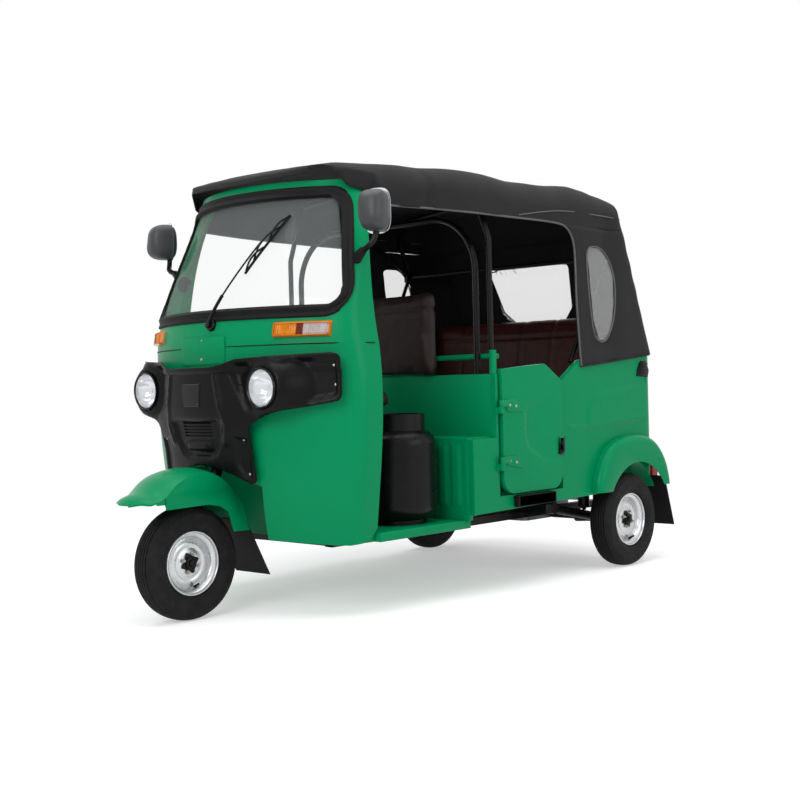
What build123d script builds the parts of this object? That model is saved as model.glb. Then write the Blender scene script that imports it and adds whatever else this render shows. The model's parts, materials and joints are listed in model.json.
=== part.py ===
"""Auto rickshaw: three-wheeled passenger vehicle with a single steered front wheel and a soft canopy.

Frame: +X forwards, +Y to the vehicle's left, +Z up, millimetres.
The origin is on the ground under the middle of the overall length and width.
"""
from build123d import *
import os
from math import cos, radians, sin, sqrt

os.makedirs("parts", exist_ok=True)

# ---------------------------------------------------------------- driving dimensions
OVERALL_LENGTH = 2635
FRONT_OVERHANG = 262
WHEELBASE = 2000
REAR_TRACK = 1150
FRONT_AXLE_X = OVERALL_LENGTH / 2 - FRONT_OVERHANG
REAR_AXLE_X = FRONT_AXLE_X - WHEELBASE
REAR_END_X = -OVERALL_LENGTH / 2
GAP = 0.3                       # left between pieces that are fitted, not welded

TYRE_RADIUS = 207
TYRE_WIDTH = 107
TYRE_BEAD_RADIUS = 117
RIM_WALL = 4
HUB_RADIUS = 44
AXLE_RADIUS = 12
AXLE_Z = TYRE_RADIUS

# front body: plan outlines are arcs about one upright axis, closed by straight sides
NOSE_CENTRE_X = FRONT_AXLE_X - 897
COWL_REAR_X = FRONT_AXLE_X - 450
COWL_BOTTOM_Z = 262
SEAM_Z = 985
FRAME_TOP_Z = 1590
COWL_WALL = 12
FRAME_WALL = 28
FRONT_CORNER_RADIUS = 80
# height, nose radius, half width, how far the sides reach behind COWL_REAR_X
COWL_SECTIONS = ((COWL_BOTTOM_Z, 735, 528, 0), (520, 783, 558, 0), (780, 800, 577, 0), (SEAM_Z, 800, 565, 0))
FRAME_SECTIONS = ((SEAM_Z, 800, 565, 0), (1100, 782, 545, 0), (1320, 703, 512, 18), (FRAME_TOP_Z, 602, 440, 80))
# side view line where the pillars' front faces end and the windscreen opening begins
PILLAR_LOW_X = COWL_REAR_X + 66
PILLAR_HIGH_X = COWL_REAR_X - 6

WINDOW_BOTTOM_Z = 1105
WINDOW_TOP_Z = 1545
WINDOW_BOTTOM_HALF = 540
WINDOW_TOP_HALF = 408
WINDOW_CORNER = 55
GASKET_WIDTH = 14
GLASS_THICKNESS = 5

NOSE_PANEL_RADIUS = 846
NOSE_LEG_RADIUS = 815
NOSE_LEG_TOP_Z = 640
# half outline of the nose panel in the front view: across, up
NOSE_OUTLINE = ((0, 912), (115, 912), (165, 920), (212, 938), (545, 953), (560, 937), (560, 798), (540, 778),
                (409, 754), (272, 714), (252, 680), (252, 505), (236, 490), (170, 520), (90, 548), (0, 558))
WHEEL_OPENING = ((0, 552), (90, 541), (165, 512), (245, 478), (230, COWL_BOTTOM_Z - 20))
# side view line of the cowl's lower edge: from the front axle, up
COWL_LOWER_EDGE = ((120, 338), (30, 323), (-74, 304), (-167, 287), (-239, 275), (-318, 264), (-352, 262),
                   (-389, 269), (-426, 287), (-452, 320))

HEADLIGHT_RADIUS = 72
HEADLIGHT_Y = 334
HEADLIGHT_Z = 833
HEADLIGHT_FRONT_X = FRONT_AXLE_X - 84
HEADLIGHT_DEPTH = 150

SIGNAL_Z = 1042
SIGNAL_HEIGHT = 56
SIGNAL_INNER_Y = 312
SIGNAL_OUTER_Y = 500
SIGNAL_DEPTH = 22
COVER_HALF = 124
COVER_BOTTOM_Z = 920
COVER_TOP_Z = 1024
PLATE_SCREW_HEIGHTS = (942, 1012)
PLATE_SCREW_RADIUS = 2.75

# steering
RAKE_DEG = 20
STEER_SETBACK = 35              # the steering axis passes this far behind the front axle
COLUMN_RADIUS = 21
COLUMN_BOTTOM = 250             # along the steering axis from axle height
COLUMN_TOP = 840
HEAD_TUBE_WALL = 9
HEAD_TUBE_BOTTOM = 415
HEAD_TUBE_TOP = 640
ARM_Y = -84                     # the single fork leg is on the right of the wheel
ARM_RADIUS = 15
BAR_HALF = 270
BAR_SETBACK = 100
GRIP_LENGTH = 110
GRIP_RADIUS = 17

SHEET = 4

# wheel housing behind the front wheel, in the side view
HOUSING_HALF = 252
HOUSING_ROOF_Z = 568

# floor and bulkhead
RAIL_LOW_Z = 235
DOWN_TUBE_X = FRONT_AXLE_X - 452
DOWN_TUBE_RADIUS = 22
FLOOR_HALF = 548
FLOOR_BOTTOM_Z = 267
FLOOR_TOP_Z = 300
CABIN_FLOOR_Z = 352
LEDGE_Z = 620
BULKHEAD_TOP_Z = 866
BULKHEAD_LOWER_X = FRONT_AXLE_X - 925
BULKHEAD_UPPER_X = FRONT_AXLE_X - 1070
BULKHEAD_WALL = 20

# side and rear body
SIDE_Y = 600
SIDE_WALL = 25
DOOR_FRONT_X = FRONT_AXLE_X - 1090
DOOR_REAR_X = FRONT_AXLE_X - 1505
BODY_REAR_X = FRONT_AXLE_X - 2262
BODY_CORNER_RADIUS = 90
BODY_BOTTOM_Z = 335
HEM_FRONT_X = FRONT_AXLE_X - 1655
HEM_FRONT_Z = 888
HEM_REAR_Z = 945

DOOR_BOTTOM_Z = 388
DOOR_TOP_Z = 904
DOOR_THICKNESS = 24
HINGE_RADIUS = 9
HINGE_Y = SIDE_Y + 16
HINGE_X = DOOR_FRONT_X + 6

FENDER_Y = 650
ARCH_RADIUS = 268
WELL_INNER_Y = 488

TAIL_DOOR_HALF = 360
TAIL_DOOR_BOTTOM_Z = 450
TAIL_DOOR_TOP_Z = 850
TAIL_HINGE_X = BODY_REAR_X - 12
TAIL_HINGE_Z = TAIL_DOOR_TOP_Z + 12

# canopy
CANOPY_HALF = 605
CANOPY_CLOTH = 6
OPENING_TOP_Z = 1490

HOOP_RADIUS = 11
HOOP_SLACK = 2.5                # between a hoop and the cloth over it
HOOP_HALF = CANOPY_HALF - CANOPY_CLOTH - HOOP_RADIUS - HOOP_SLACK
HOOP_CAMBER = 24
PILLAR_HALF = 574


# ---------------------------------------------------------------- shared shapes
def save(part, name):
    """Label a finished piece and write it as one STEP file."""
    part.label = name
    export_step(part, f"parts/{name}.step")


def tube(points, radius, bend=None):
    """Round bar along straight runs joined by arcs of radius bend."""
    with BuildPart() as bar:
        with BuildLine() as path:
            if bend and len(points) > 2:
                FilletPolyline(*points, radius=bend)
            else:
                Polyline(*points)
        with BuildSketch(Plane(origin=path.line @ 0, z_dir=path.line % 0)):
            Circle(radius)
        sweep(transition=Transition.ROUND if not bend else Transition.TRANSFORMED)
    return bar.part


def rod(start, end, radius):
    """Straight round bar between two points."""
    start, end = Vector(*start), Vector(*end)
    with BuildPart() as bar:
        with BuildSketch(Plane(origin=start, z_dir=end - start)):
            Circle(radius)
        extrude(amount=(end - start).length)
    return bar.part


def block(low, high, corner=0):
    """Box between two corners, its upright edges rounded when corner is given."""
    size = [h - l for l, h in zip(low, high)]
    centre = [(h + l) / 2 for l, h in zip(low, high)]
    with BuildPart(Plane(origin=centre)) as box:
        Box(*size)
        if corner:
            fillet(box.edges().filter_by(Axis.Z), corner)
    return box.part


def side_slab(points, y_low, y_high, corner=0):
    """Slab with an outline given in the side view (X, Z), between two heights across the vehicle."""
    with BuildPart() as slab:
        with BuildSketch(Plane.XZ.offset(-y_high)) as outline:
            with BuildLine():
                Polyline(*points, close=True)
            make_face()
            if corner:
                fillet(outline.vertices(), corner)
        extrude(amount=y_high - y_low)
    return slab.part


def front_prism(points, x_low, x_high, corner=0):
    """Prism with an outline given in the front view (Y, Z), from x_low to x_high."""
    with BuildPart() as prism:
        with BuildSketch(Plane.YZ.offset(x_low)) as outline:
            with BuildLine():
                Polyline(*points, close=True)
            make_face()
            if corner:
                fillet(outline.vertices(), corner)
        extrude(amount=x_high - x_low)
    return prism.part


def both_sides(half):
    """Close a half outline (Y, Z) that starts and ends on the centre line."""
    left = list(half)
    right = [(-y, z) for y, z in reversed(left) if y]
    return left + right


def front_body(sections, inset, z_grow=0, rear_grow=0):
    """Solid through the front's plan outlines, drawn in by inset; the grows lengthen its open ends."""
    last = len(sections) - 1
    with BuildPart() as body:
        for index, (height, radius, half_width, setback) in enumerate(sections):
            z = height + (z_grow if index == last else -z_grow if index == 0 else 0)
            rear_x = COWL_REAR_X - setback - rear_grow
            nose = radius - inset
            side = half_width - inset
            shoulder_x = NOSE_CENTRE_X + sqrt(nose ** 2 - side ** 2)
            with BuildSketch(Plane.XY.offset(z)) as outline:
                with BuildLine():
                    Line((rear_x, -side), (shoulder_x, -side))
                    ThreePointArc((shoulder_x, -side), (NOSE_CENTRE_X + nose, 0), (shoulder_x, side))
                    Line((shoulder_x, side), (rear_x, side))
                    Line((rear_x, side), (rear_x, -side))
                make_face()
                fillet(outline.vertices().group_by(Axis.X)[-1], FRONT_CORNER_RADIUS - inset)
        loft()
    return body.part


def nose_cylinder(radius, z_low, z_high):
    """Upright cylinder about the axis that the front's plan arcs share."""
    with BuildPart() as drum:
        with BuildSketch(Plane(origin=(NOSE_CENTRE_X, 0, z_low))):
            Circle(radius)
        extrude(amount=z_high - z_low)
    return drum.part


def window_outline(inset):
    """Windscreen opening in the front view, drawn in by inset."""
    low, high = WINDOW_BOTTOM_Z + inset, WINDOW_TOP_Z - inset
    wide, narrow = WINDOW_BOTTOM_HALF - inset, WINDOW_TOP_HALF - inset
    return ((-wide, low), (wide, low), (narrow, high), (-narrow, high))


# ---------------------------------------------------------------- front body
cowl_outer = front_body(COWL_SECTIONS, 0)
cowl_inner = front_body(COWL_SECTIONS, COWL_WALL, 5, 20)
frame_outer = front_body(FRAME_SECTIONS, 0)
frame_inner = front_body(FRAME_SECTIONS, FRAME_WALL, 5, 20)
plate_screw_cuts = [rod((FRONT_AXLE_X - 160, 0, z), (FRONT_AXLE_X, 0, z), PLATE_SCREW_RADIUS) for z in PLATE_SCREW_HEIGHTS]
wheel_opening = front_prism(both_sides(WHEEL_OPENING), COWL_REAR_X + 20, FRONT_AXLE_X + 50)


def headlight_cut(side):
    """Round hole through the nose for one headlight."""
    return rod((HEADLIGHT_FRONT_X - HEADLIGHT_DEPTH - 30, side * HEADLIGHT_Y, HEADLIGHT_Z),
               (HEADLIGHT_FRONT_X + 60, side * HEADLIGHT_Y, HEADLIGHT_Z), HEADLIGHT_RADIUS + GAP)


def ahead_of_axle(points):
    """Side view points given from the front axle, in the part's own frame."""
    return [(FRONT_AXLE_X + x, z) for x, z in points]


def below_cowl(points):
    """Everything under a line in the side view."""
    return side_slab([(points[0][0], 150), *points, (points[-1][0], 150)], -SIDE_Y, SIDE_Y)


headlight_cuts = [headlight_cut(1), headlight_cut(-1)]
cowl_underside = below_cowl(ahead_of_axle(COWL_LOWER_EDGE))
with BuildPart() as front_cowl:
    add(cowl_outer)
    add(cowl_inner, mode=Mode.SUBTRACT)
    add(wheel_opening, mode=Mode.SUBTRACT)
    add(headlight_cuts, mode=Mode.SUBTRACT)
    add(cowl_underside, mode=Mode.SUBTRACT)
    add(plate_screw_cuts, mode=Mode.SUBTRACT)
save(front_cowl.part, "front_cowl")


def window_prism(inset):
    """Solid that fills the windscreen opening, ahead of the pillars' side faces."""
    outline = front_prism(window_outline(inset), COWL_REAR_X - 60, FRONT_AXLE_X, WINDOW_CORNER - inset)
    ahead = ((PILLAR_LOW_X, WINDOW_BOTTOM_Z - 20), (FRONT_AXLE_X, WINDOW_BOTTOM_Z - 20),
             (FRONT_AXLE_X, WINDOW_TOP_Z + 20), (PILLAR_HIGH_X, WINDOW_TOP_Z + 20))
    with BuildPart() as prism:
        add(outline)
        add(side_slab(ahead, -SIDE_Y, SIDE_Y), mode=Mode.INTERSECT)
    return prism.part


window_cut = window_prism(0)
with BuildPart() as windshield_frame:
    add(frame_outer)
    add(frame_inner, mode=Mode.SUBTRACT)
    add(window_cut, mode=Mode.SUBTRACT)
    add(plate_screw_cuts, mode=Mode.SUBTRACT)
save(windshield_frame.part, "windshield_frame")

gasket_outer = window_prism(GAP)
gasket_hole = window_prism(GASKET_WIDTH)
glass_prism = window_prism(GASKET_WIDTH + GAP)
gasket_skin = front_body(FRAME_SECTIONS, -7)
gasket_core = front_body(FRAME_SECTIONS, 16, 5, 20)
with BuildPart() as windshield_gasket:
    add(gasket_skin)
    add(gasket_core, mode=Mode.SUBTRACT)
    add(gasket_outer, mode=Mode.INTERSECT)
    add(gasket_hole, mode=Mode.SUBTRACT)
save(windshield_gasket.part, "windshield_gasket")

glass_skin = front_body(FRAME_SECTIONS, 4)
glass_core = front_body(FRAME_SECTIONS, 4 + GLASS_THICKNESS, 5, 20)
with BuildPart() as windshield:
    add(glass_skin)
    add(glass_core, mode=Mode.SUBTRACT)
    add(glass_prism, mode=Mode.INTERSECT)
save(windshield.part, "windshield")

nose_main = nose_cylinder(NOSE_PANEL_RADIUS, NOSE_LEG_TOP_Z, 1000)
nose_legs = nose_cylinder(NOSE_LEG_RADIUS, 400, NOSE_LEG_TOP_Z)
nose_prism = front_prism(both_sides(NOSE_OUTLINE), FRONT_AXLE_X - 420, FRONT_AXLE_X + 60)
with BuildPart() as nose_panel:
    add(nose_main)
    add(nose_legs)
    add(nose_prism, mode=Mode.INTERSECT)
    add(cowl_outer, mode=Mode.SUBTRACT)
    add(headlight_cuts, mode=Mode.SUBTRACT)
save(nose_panel.part, "nose_panel")

with BuildPart() as headlights:
    for side in (1, -1):
        with BuildSketch(Plane.YZ.offset(HEADLIGHT_FRONT_X - HEADLIGHT_DEPTH)):
            with Locations((side * HEADLIGHT_Y, HEADLIGHT_Z)):
                Circle(HEADLIGHT_RADIUS)
        extrude(amount=HEADLIGHT_DEPTH)
    fillet(headlights.edges().group_by(Axis.X)[-1], 14)
save(headlights.part, "headlights")

signal_ring = nose_cylinder(800 + SIGNAL_DEPTH, SIGNAL_Z - 40, SIGNAL_Z + 40)
with BuildPart() as turn_signals:
    for side in (1, -1):
        with BuildSketch(Plane.YZ.offset(FRONT_AXLE_X - 420)):
            with Locations((side * (SIGNAL_INNER_Y + SIGNAL_OUTER_Y) / 2, SIGNAL_Z)):
                RectangleRounded(SIGNAL_OUTER_Y - SIGNAL_INNER_Y, SIGNAL_HEIGHT, 10)
        extrude(amount=420)
    add(signal_ring, mode=Mode.INTERSECT)
    add(frame_outer, mode=Mode.SUBTRACT)
save(turn_signals.part, "turn_signals")

with BuildPart() as cover_plate:
    with BuildSketch(Plane.YZ.offset(FRONT_AXLE_X - 200)):
        with Locations((0, (COVER_BOTTOM_Z + COVER_TOP_Z) / 2)):
            RectangleRounded(2 * COVER_HALF, COVER_TOP_Z - COVER_BOTTOM_Z, 8)
    extrude(amount=200)
    add(nose_cylinder(804, COVER_BOTTOM_Z - 10, COVER_TOP_Z + 10), mode=Mode.INTERSECT)
    add(cowl_outer, mode=Mode.SUBTRACT)
    add(frame_outer, mode=Mode.SUBTRACT)
    add(nose_panel.part, mode=Mode.SUBTRACT)
    add(plate_screw_cuts, mode=Mode.SUBTRACT)
save(cover_plate.part, "cover_plate")


# ---------------------------------------------------------------- steering geometry
RAKE = radians(RAKE_DEG)
STEER_AXIS = Vector(-sin(RAKE), 0, cos(RAKE))
STEER_FOOT = Vector(FRONT_AXLE_X - STEER_SETBACK, 0, AXLE_Z)


def on_steer_axis(distance):
    """Point on the steering axis, this far up from axle height."""
    point = STEER_FOOT + STEER_AXIS * distance
    return (point.X, point.Y, point.Z)


# ---------------------------------------------------------------- wheel housing, floor, bulkhead
HOUSING_REAR = -402
HOUSING_SLOPE_X = -272
HOUSING_SLOPE_Z = 432


def housing_block(wall):
    """Space of the wheel housing, grown outwards by wall."""
    outline = ((0, HOUSING_ROOF_Z + wall), (HOUSING_SLOPE_X, HOUSING_ROOF_Z + wall),
               (HOUSING_REAR - wall, HOUSING_SLOPE_Z + wall), (HOUSING_REAR - wall, COWL_BOTTOM_Z), (0, COWL_BOTTOM_Z))
    return side_slab(ahead_of_axle(outline), -HOUSING_HALF - wall, HOUSING_HALF + wall)


cowl_room = front_body(COWL_SECTIONS, COWL_WALL + GAP, 0, 0)
with BuildPart() as wheel_housing:
    add(housing_block(SHEET))
    add(housing_block(0), mode=Mode.SUBTRACT)
    add(cowl_room, mode=Mode.INTERSECT)
    add(cowl_underside, mode=Mode.SUBTRACT)
    add(rod(on_steer_axis(0), on_steer_axis(COLUMN_TOP), COLUMN_RADIUS + 12), mode=Mode.SUBTRACT)
save(wheel_housing.part, "wheel_housing")

SEAT_BOX_FRONT_X = FRONT_AXLE_X - 1545
toe_boards = block((COWL_REAR_X, -SIDE_Y, FLOOR_BOTTOM_Z), (FRONT_AXLE_X, SIDE_Y, FLOOR_TOP_Z))
with BuildPart() as floor_pan:
    add(cowl_room)
    add(toe_boards, mode=Mode.INTERSECT)
    add(housing_block(SHEET + GAP), mode=Mode.SUBTRACT)
    add(block((FRONT_AXLE_X + HOUSING_REAR - SHEET - GAP, -HOUSING_HALF - SHEET, 250),
              (FRONT_AXLE_X, HOUSING_HALF + SHEET, 320)), mode=Mode.SUBTRACT)
    add(below_cowl([(x, z + 1) for x, z in ahead_of_axle(COWL_LOWER_EDGE[:6])]), mode=Mode.SUBTRACT)
    add(block((BULKHEAD_LOWER_X - BULKHEAD_WALL, -FLOOR_HALF, FLOOR_BOTTOM_Z),
              (COWL_REAR_X, FLOOR_HALF, FLOOR_TOP_Z)))
    add(block((BULKHEAD_LOWER_X - BULKHEAD_WALL - 17, -FLOOR_HALF, FLOOR_BOTTOM_Z),
              (BULKHEAD_LOWER_X - BULKHEAD_WALL, FLOOR_HALF, CABIN_FLOOR_Z)))
    add(block((SEAT_BOX_FRONT_X, -FLOOR_HALF, CABIN_FLOOR_Z - 17),
              (BULKHEAD_LOWER_X - BULKHEAD_WALL, FLOOR_HALF, CABIN_FLOOR_Z)))
    add(rod((DOWN_TUBE_X, 0, RAIL_LOW_Z), (DOWN_TUBE_X, 0, FLOOR_TOP_Z + 5), DOWN_TUBE_RADIUS + GAP),
        mode=Mode.SUBTRACT)
save(floor_pan.part, "floor_pan")

BULKHEAD_HALF = SIDE_Y - SIDE_WALL - GAP
bulkhead_outline = ((BULKHEAD_LOWER_X, FLOOR_TOP_Z), (BULKHEAD_LOWER_X, LEDGE_Z), (BULKHEAD_UPPER_X, LEDGE_Z),
                    (BULKHEAD_UPPER_X, BULKHEAD_TOP_Z), (BULKHEAD_UPPER_X - BULKHEAD_WALL, BULKHEAD_TOP_Z),
                    (BULKHEAD_UPPER_X - BULKHEAD_WALL, LEDGE_Z - BULKHEAD_WALL),
                    (BULKHEAD_LOWER_X - BULKHEAD_WALL + GAP, LEDGE_Z - BULKHEAD_WALL),
                    (BULKHEAD_LOWER_X - BULKHEAD_WALL + GAP, FLOOR_TOP_Z))
bulkhead = side_slab(bulkhead_outline, -BULKHEAD_HALF, BULKHEAD_HALF)
save(bulkhead, "bulkhead")

# ---------------------------------------------------------------- side and rear body
BODY_TOP_LAP = 30               # the body runs this far up behind the canopy hem


def tub_plan(inset):
    """Plan of the rear body: open ahead, rounded at the rear corners."""
    half = SIDE_Y - inset
    rear = BODY_REAR_X + inset
    with BuildPart() as plan:
        with BuildSketch(Plane.XY.offset(BODY_BOTTOM_Z - 30)) as outline:
            with BuildLine():
                Polyline((BULKHEAD_LOWER_X + inset, -half), (rear, -half), (rear, half),
                         (BULKHEAD_LOWER_X + inset, half), close=True)
            make_face()
            fillet(outline.vertices().group_by(Axis.X)[0], BODY_CORNER_RADIUS - inset)
        extrude(amount=700)
    return plan.part


body_side_outline = (
    (BULKHEAD_LOWER_X, 322), (BULKHEAD_LOWER_X, LEDGE_Z - 6), (BULKHEAD_UPPER_X, LEDGE_Z - 6),
    (BULKHEAD_UPPER_X, BULKHEAD_TOP_Z), (DOOR_FRONT_X + 5, BULKHEAD_TOP_Z), (DOOR_FRONT_X + 5, DOOR_BOTTOM_Z - 6),
    (DOOR_REAR_X - 6, DOOR_BOTTOM_Z - 6), (DOOR_REAR_X - 6, 828), (HEM_FRONT_X, HEM_FRONT_Z + BODY_TOP_LAP),
    (BODY_REAR_X - 5, HEM_REAR_Z + BODY_TOP_LAP), (BODY_REAR_X - 5, 400), (REAR_AXLE_X, 340),
    (REAR_AXLE_X + 380, BODY_BOTTOM_Z))
wheel_arch = rod((REAR_AXLE_X, -700, AXLE_Z), (REAR_AXLE_X, 700, AXLE_Z), ARCH_RADIUS)
well_keep = block((-1400, WELL_INNER_Y, BODY_BOTTOM_Z), (0, SIDE_Y, 700))
tail_opening = block((BODY_REAR_X - 20, -TAIL_DOOR_HALF - 6, TAIL_DOOR_BOTTOM_Z - 6),
                     (BODY_REAR_X + 60, TAIL_DOOR_HALF + 6, TAIL_DOOR_TOP_Z + 6))
CORNER_SEAM_Y = 506
with BuildPart() as tub:
    add(tub_plan(0))
    add(tub_plan(SIDE_WALL), mode=Mode.SUBTRACT)
    add(block((BULKHEAD_LOWER_X - SIDE_WALL - 2, -SIDE_Y + SIDE_WALL, 200),
              (BULKHEAD_LOWER_X + 2, SIDE_Y - SIDE_WALL, 1100)), mode=Mode.SUBTRACT)
    add(side_slab(body_side_outline, -SIDE_Y - 10, SIDE_Y + 10), mode=Mode.INTERSECT)
with BuildPart() as body_side_left:
    add(tub.part)
    add(block((-1500, CORNER_SEAM_Y, 100), (1000, 800, 1200)), mode=Mode.INTERSECT)
    add(wheel_arch, mode=Mode.SUBTRACT)
with BuildPart() as wheel_well:
    add(rod((REAR_AXLE_X, WELL_INNER_Y, AXLE_Z), (REAR_AXLE_X, SIDE_Y - 5, AXLE_Z), ARCH_RADIUS + SHEET))
    add(rod((REAR_AXLE_X, WELL_INNER_Y + SHEET, AXLE_Z), (REAR_AXLE_X, SIDE_Y, AXLE_Z), ARCH_RADIUS),
        mode=Mode.SUBTRACT)
    add(well_keep, mode=Mode.INTERSECT)
with BuildPart() as side_pressing:
    add(body_side_left.part)
    add(wheel_well.part)
save(side_pressing.part, "body_side_left")
save(side_pressing.part.mirror(Plane.XZ), "body_side_right")

with BuildPart() as rear_panel:
    add(tub.part)
    add(block((-1500, -CORNER_SEAM_Y + GAP, 100), (-900, CORNER_SEAM_Y - GAP, 1200)), mode=Mode.INTERSECT)
    add(tail_opening, mode=Mode.SUBTRACT)
save(rear_panel.part, "rear_panel")


def arc_plane(centre, angle_deg):
    """Plane through a wheel's axle at an angle up from straight ahead; x is the radius, y runs across."""
    angle = radians(angle_deg)
    return Plane(origin=centre, x_dir=(cos(angle), 0, sin(angle)), z_dir=(-sin(angle), 0, cos(angle)))


FENDER_EDGE = 30
# side view outline of a rear wing: along, up
FENDER_OUTLINE = ((-652, 300), (-668, 350), (-704, 468), (-785, 545), (-870, 573), (-964, 583), (-1045, 576),
                  (-1115, 555), (-1178, 508), (-1231, 425), (-1262, 335))
ARCH_LIP_X = REAR_AXLE_X - 27
ARCH_LIP_RADIUS = 255


def drawn_in(points, inset):
    """Open side view line moved inwards, to the left of its run."""
    moved = []
    for index, (x, z) in enumerate(points):
        before, after = points[max(index - 1, 0)], points[min(index + 1, len(points) - 1)]
        run = Vector(after[0] - before[0], after[1] - before[1]).normalized() * inset
        moved.append((x - run.Y, z + run.X))
    return moved


def fender_solid(inset, y_low, y_high, low_z):
    """Space under a rear wing's skin, drawn in by inset."""
    points = drawn_in(FENDER_OUTLINE, inset)
    with BuildPart() as solid:
        with BuildSketch(Plane.XZ.offset(-y_high)):
            with BuildLine():
                curve = Spline(*points[1:-1])
                Polyline(curve @ 1, points[-1], (points[-1][0], 250), (points[0][0], 250), points[0], curve @ 0)
            make_face()
        extrude(amount=y_high - y_low)
        face_edges = solid.faces().sort_by(Axis.Y)[-1].edges()
        fillet([edge for edge in face_edges if edge.center().Z > 300], FENDER_EDGE - inset)
        add(block((-1400, y_low - 1, low_z), (0, y_high + 1, 900)), mode=Mode.INTERSECT)
    return solid.part


with BuildPart() as rear_fender:
    add(fender_solid(0, SIDE_Y + GAP, FENDER_Y, 345))
    add(fender_solid(SHEET, SIDE_Y - 5, FENDER_Y - SHEET, 340), mode=Mode.SUBTRACT)
    add(rod((ARCH_LIP_X, SIDE_Y - 5, AXLE_Z), (ARCH_LIP_X, FENDER_Y + 5, AXLE_Z), ARCH_LIP_RADIUS), mode=Mode.SUBTRACT)
    add(block((BODY_REAR_X - 22, 500, 0), (0, 700, 900)), mode=Mode.INTERSECT)
with BuildPart() as rear_fenders:
    add(rear_fender.part)
    add(rear_fender.part.mirror(Plane.XZ))
save(rear_fenders.part, "rear_fenders")

FLAP_TOP_X = BODY_REAR_X + 8
FLAP_LOW_X = BODY_REAR_X - 68
FLAP_TOP_Z = 384
FLAP_LOW_Z = 152
flap_outline = ((FLAP_TOP_X, FLAP_TOP_Z), (FLAP_TOP_X - SHEET, FLAP_TOP_Z),
                (FLAP_LOW_X - SHEET, FLAP_LOW_Z), (FLAP_LOW_X, FLAP_LOW_Z))
with BuildPart() as rear_mudflaps:
    add(side_slab(flap_outline, 512, 640))
    add(side_slab(flap_outline, -640, -512))
    add(rear_fenders.part, mode=Mode.SUBTRACT)
save(rear_mudflaps.part, "rear_mudflaps")

# steps, intakes, tail lamps, bumper, plate
with BuildPart() as steps:
    for side in (1, -1):
        with BuildSketch(Plane.XY.offset(334)):
            with Locations(((DOOR_FRONT_X + DOOR_REAR_X) / 2, side * (SIDE_Y + 14))):
                RectangleRounded(256, 28 - 2 * GAP, 8)
        extrude(amount=44)
save(steps.part, "steps")

TAIL_LAMP_Y = 520
with BuildPart() as tail_lamps:
    for side in (1, -1):
        with BuildSketch(Plane.XY.offset(372)):
            with Locations((BODY_REAR_X - 30 - GAP, side * TAIL_LAMP_Y)):
                RectangleRounded(60, 96, 10)
        extrude(amount=110)
save(tail_lamps.part, "tail_lamps")

BUMPER_Z = 356
BUMPER_RADIUS = 16
BUMPER_HALF = 440               # middle of the two stays
BUMPER_X = REAR_END_X + BUMPER_RADIUS
STAY_FRONT_X = BODY_REAR_X + 62
bumper_points = ((STAY_FRONT_X, -BUMPER_HALF, BUMPER_Z), (BUMPER_X, -BUMPER_HALF, BUMPER_Z),
                 (BUMPER_X, BUMPER_HALF, BUMPER_Z), (STAY_FRONT_X, BUMPER_HALF, BUMPER_Z))
save(tube(bumper_points, BUMPER_RADIUS, 60), "rear_bumper")

PLATE_HALF = 120
PLATE_HEIGHT = 100
PLATE_HOLE_RADIUS = 3.5
PLATE_HOLE_SPACING = 160
PLATE_HOLE_DROP = 20            # below the plate's upper edge
plate_top_z = BUMPER_Z - BUMPER_RADIUS - GAP
with BuildPart() as number_plate:
    add(block((BUMPER_X - 2, -PLATE_HALF, plate_top_z - PLATE_HEIGHT), (BUMPER_X + 2, PLATE_HALF, plate_top_z)))
    for side in (1, -1):
        hole = (BUMPER_X, side * PLATE_HOLE_SPACING / 2, plate_top_z - PLATE_HOLE_DROP)
        add(rod((hole[0] - 5, *hole[1:]), (hole[0] + 5, *hole[1:]), PLATE_HOLE_RADIUS), mode=Mode.SUBTRACT)
save(number_plate.part, "number_plate")

# ---------------------------------------------------------------- doors
HINGE_HEIGHTS = (510, 735)
HINGE_HALF = 26
PIN_RADIUS = 5
DOOR_OUTER_Y = SIDE_Y + 12
door_outline = ((DOOR_FRONT_X - 8, DOOR_TOP_Z - 20), (DOOR_REAR_X + 120, DOOR_TOP_Z), (DOOR_REAR_X + 2, 832),
                (DOOR_REAR_X + 8, DOOR_BOTTOM_Z), (DOOR_FRONT_X - 8, DOOR_BOTTOM_Z))
with BuildPart() as door:
    with BuildSketch(Plane.XZ.offset(-DOOR_OUTER_Y)) as outline:
        with BuildLine():
            Polyline(*door_outline, close=True)
        make_face()
        fillet(outline.vertices().group_by(Axis.Y)[0], 70)
        fillet(outline.vertices().group_by(Axis.Y)[-1], 45)
    extrude(amount=DOOR_THICKNESS)
    for height in HINGE_HEIGHTS:
        add(rod((HINGE_X, HINGE_Y, height + GAP), (HINGE_X, HINGE_Y, height + HINGE_HALF), HINGE_RADIUS))
        add(block((DOOR_FRONT_X - 46, DOOR_OUTER_Y, height + GAP), (HINGE_X, HINGE_Y + 3, height + HINGE_HALF)))
        add(rod((HINGE_X, HINGE_Y, height - 40), (HINGE_X, HINGE_Y, height + 40), PIN_RADIUS + GAP),
            mode=Mode.SUBTRACT)
    add(block((DOOR_REAR_X + 12, DOOR_OUTER_Y, 546), (DOOR_REAR_X + 36, DOOR_OUTER_Y + 8, 602)))
with BuildPart() as hinges:
    for height in HINGE_HEIGHTS:
        add(rod((HINGE_X, HINGE_Y, height - HINGE_HALF), (HINGE_X, HINGE_Y, height), HINGE_RADIUS))
        add(rod((HINGE_X, HINGE_Y, height), (HINGE_X, HINGE_Y, height + HINGE_HALF), PIN_RADIUS))
        add(block((HINGE_X, SIDE_Y + GAP, height - HINGE_HALF), (HINGE_X + 22, SIDE_Y + 6, height)))
        add(block((HINGE_X, SIDE_Y + GAP, height - HINGE_HALF), (HINGE_X + 9, HINGE_Y, height)))
save(door.part, "door_left")
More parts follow.
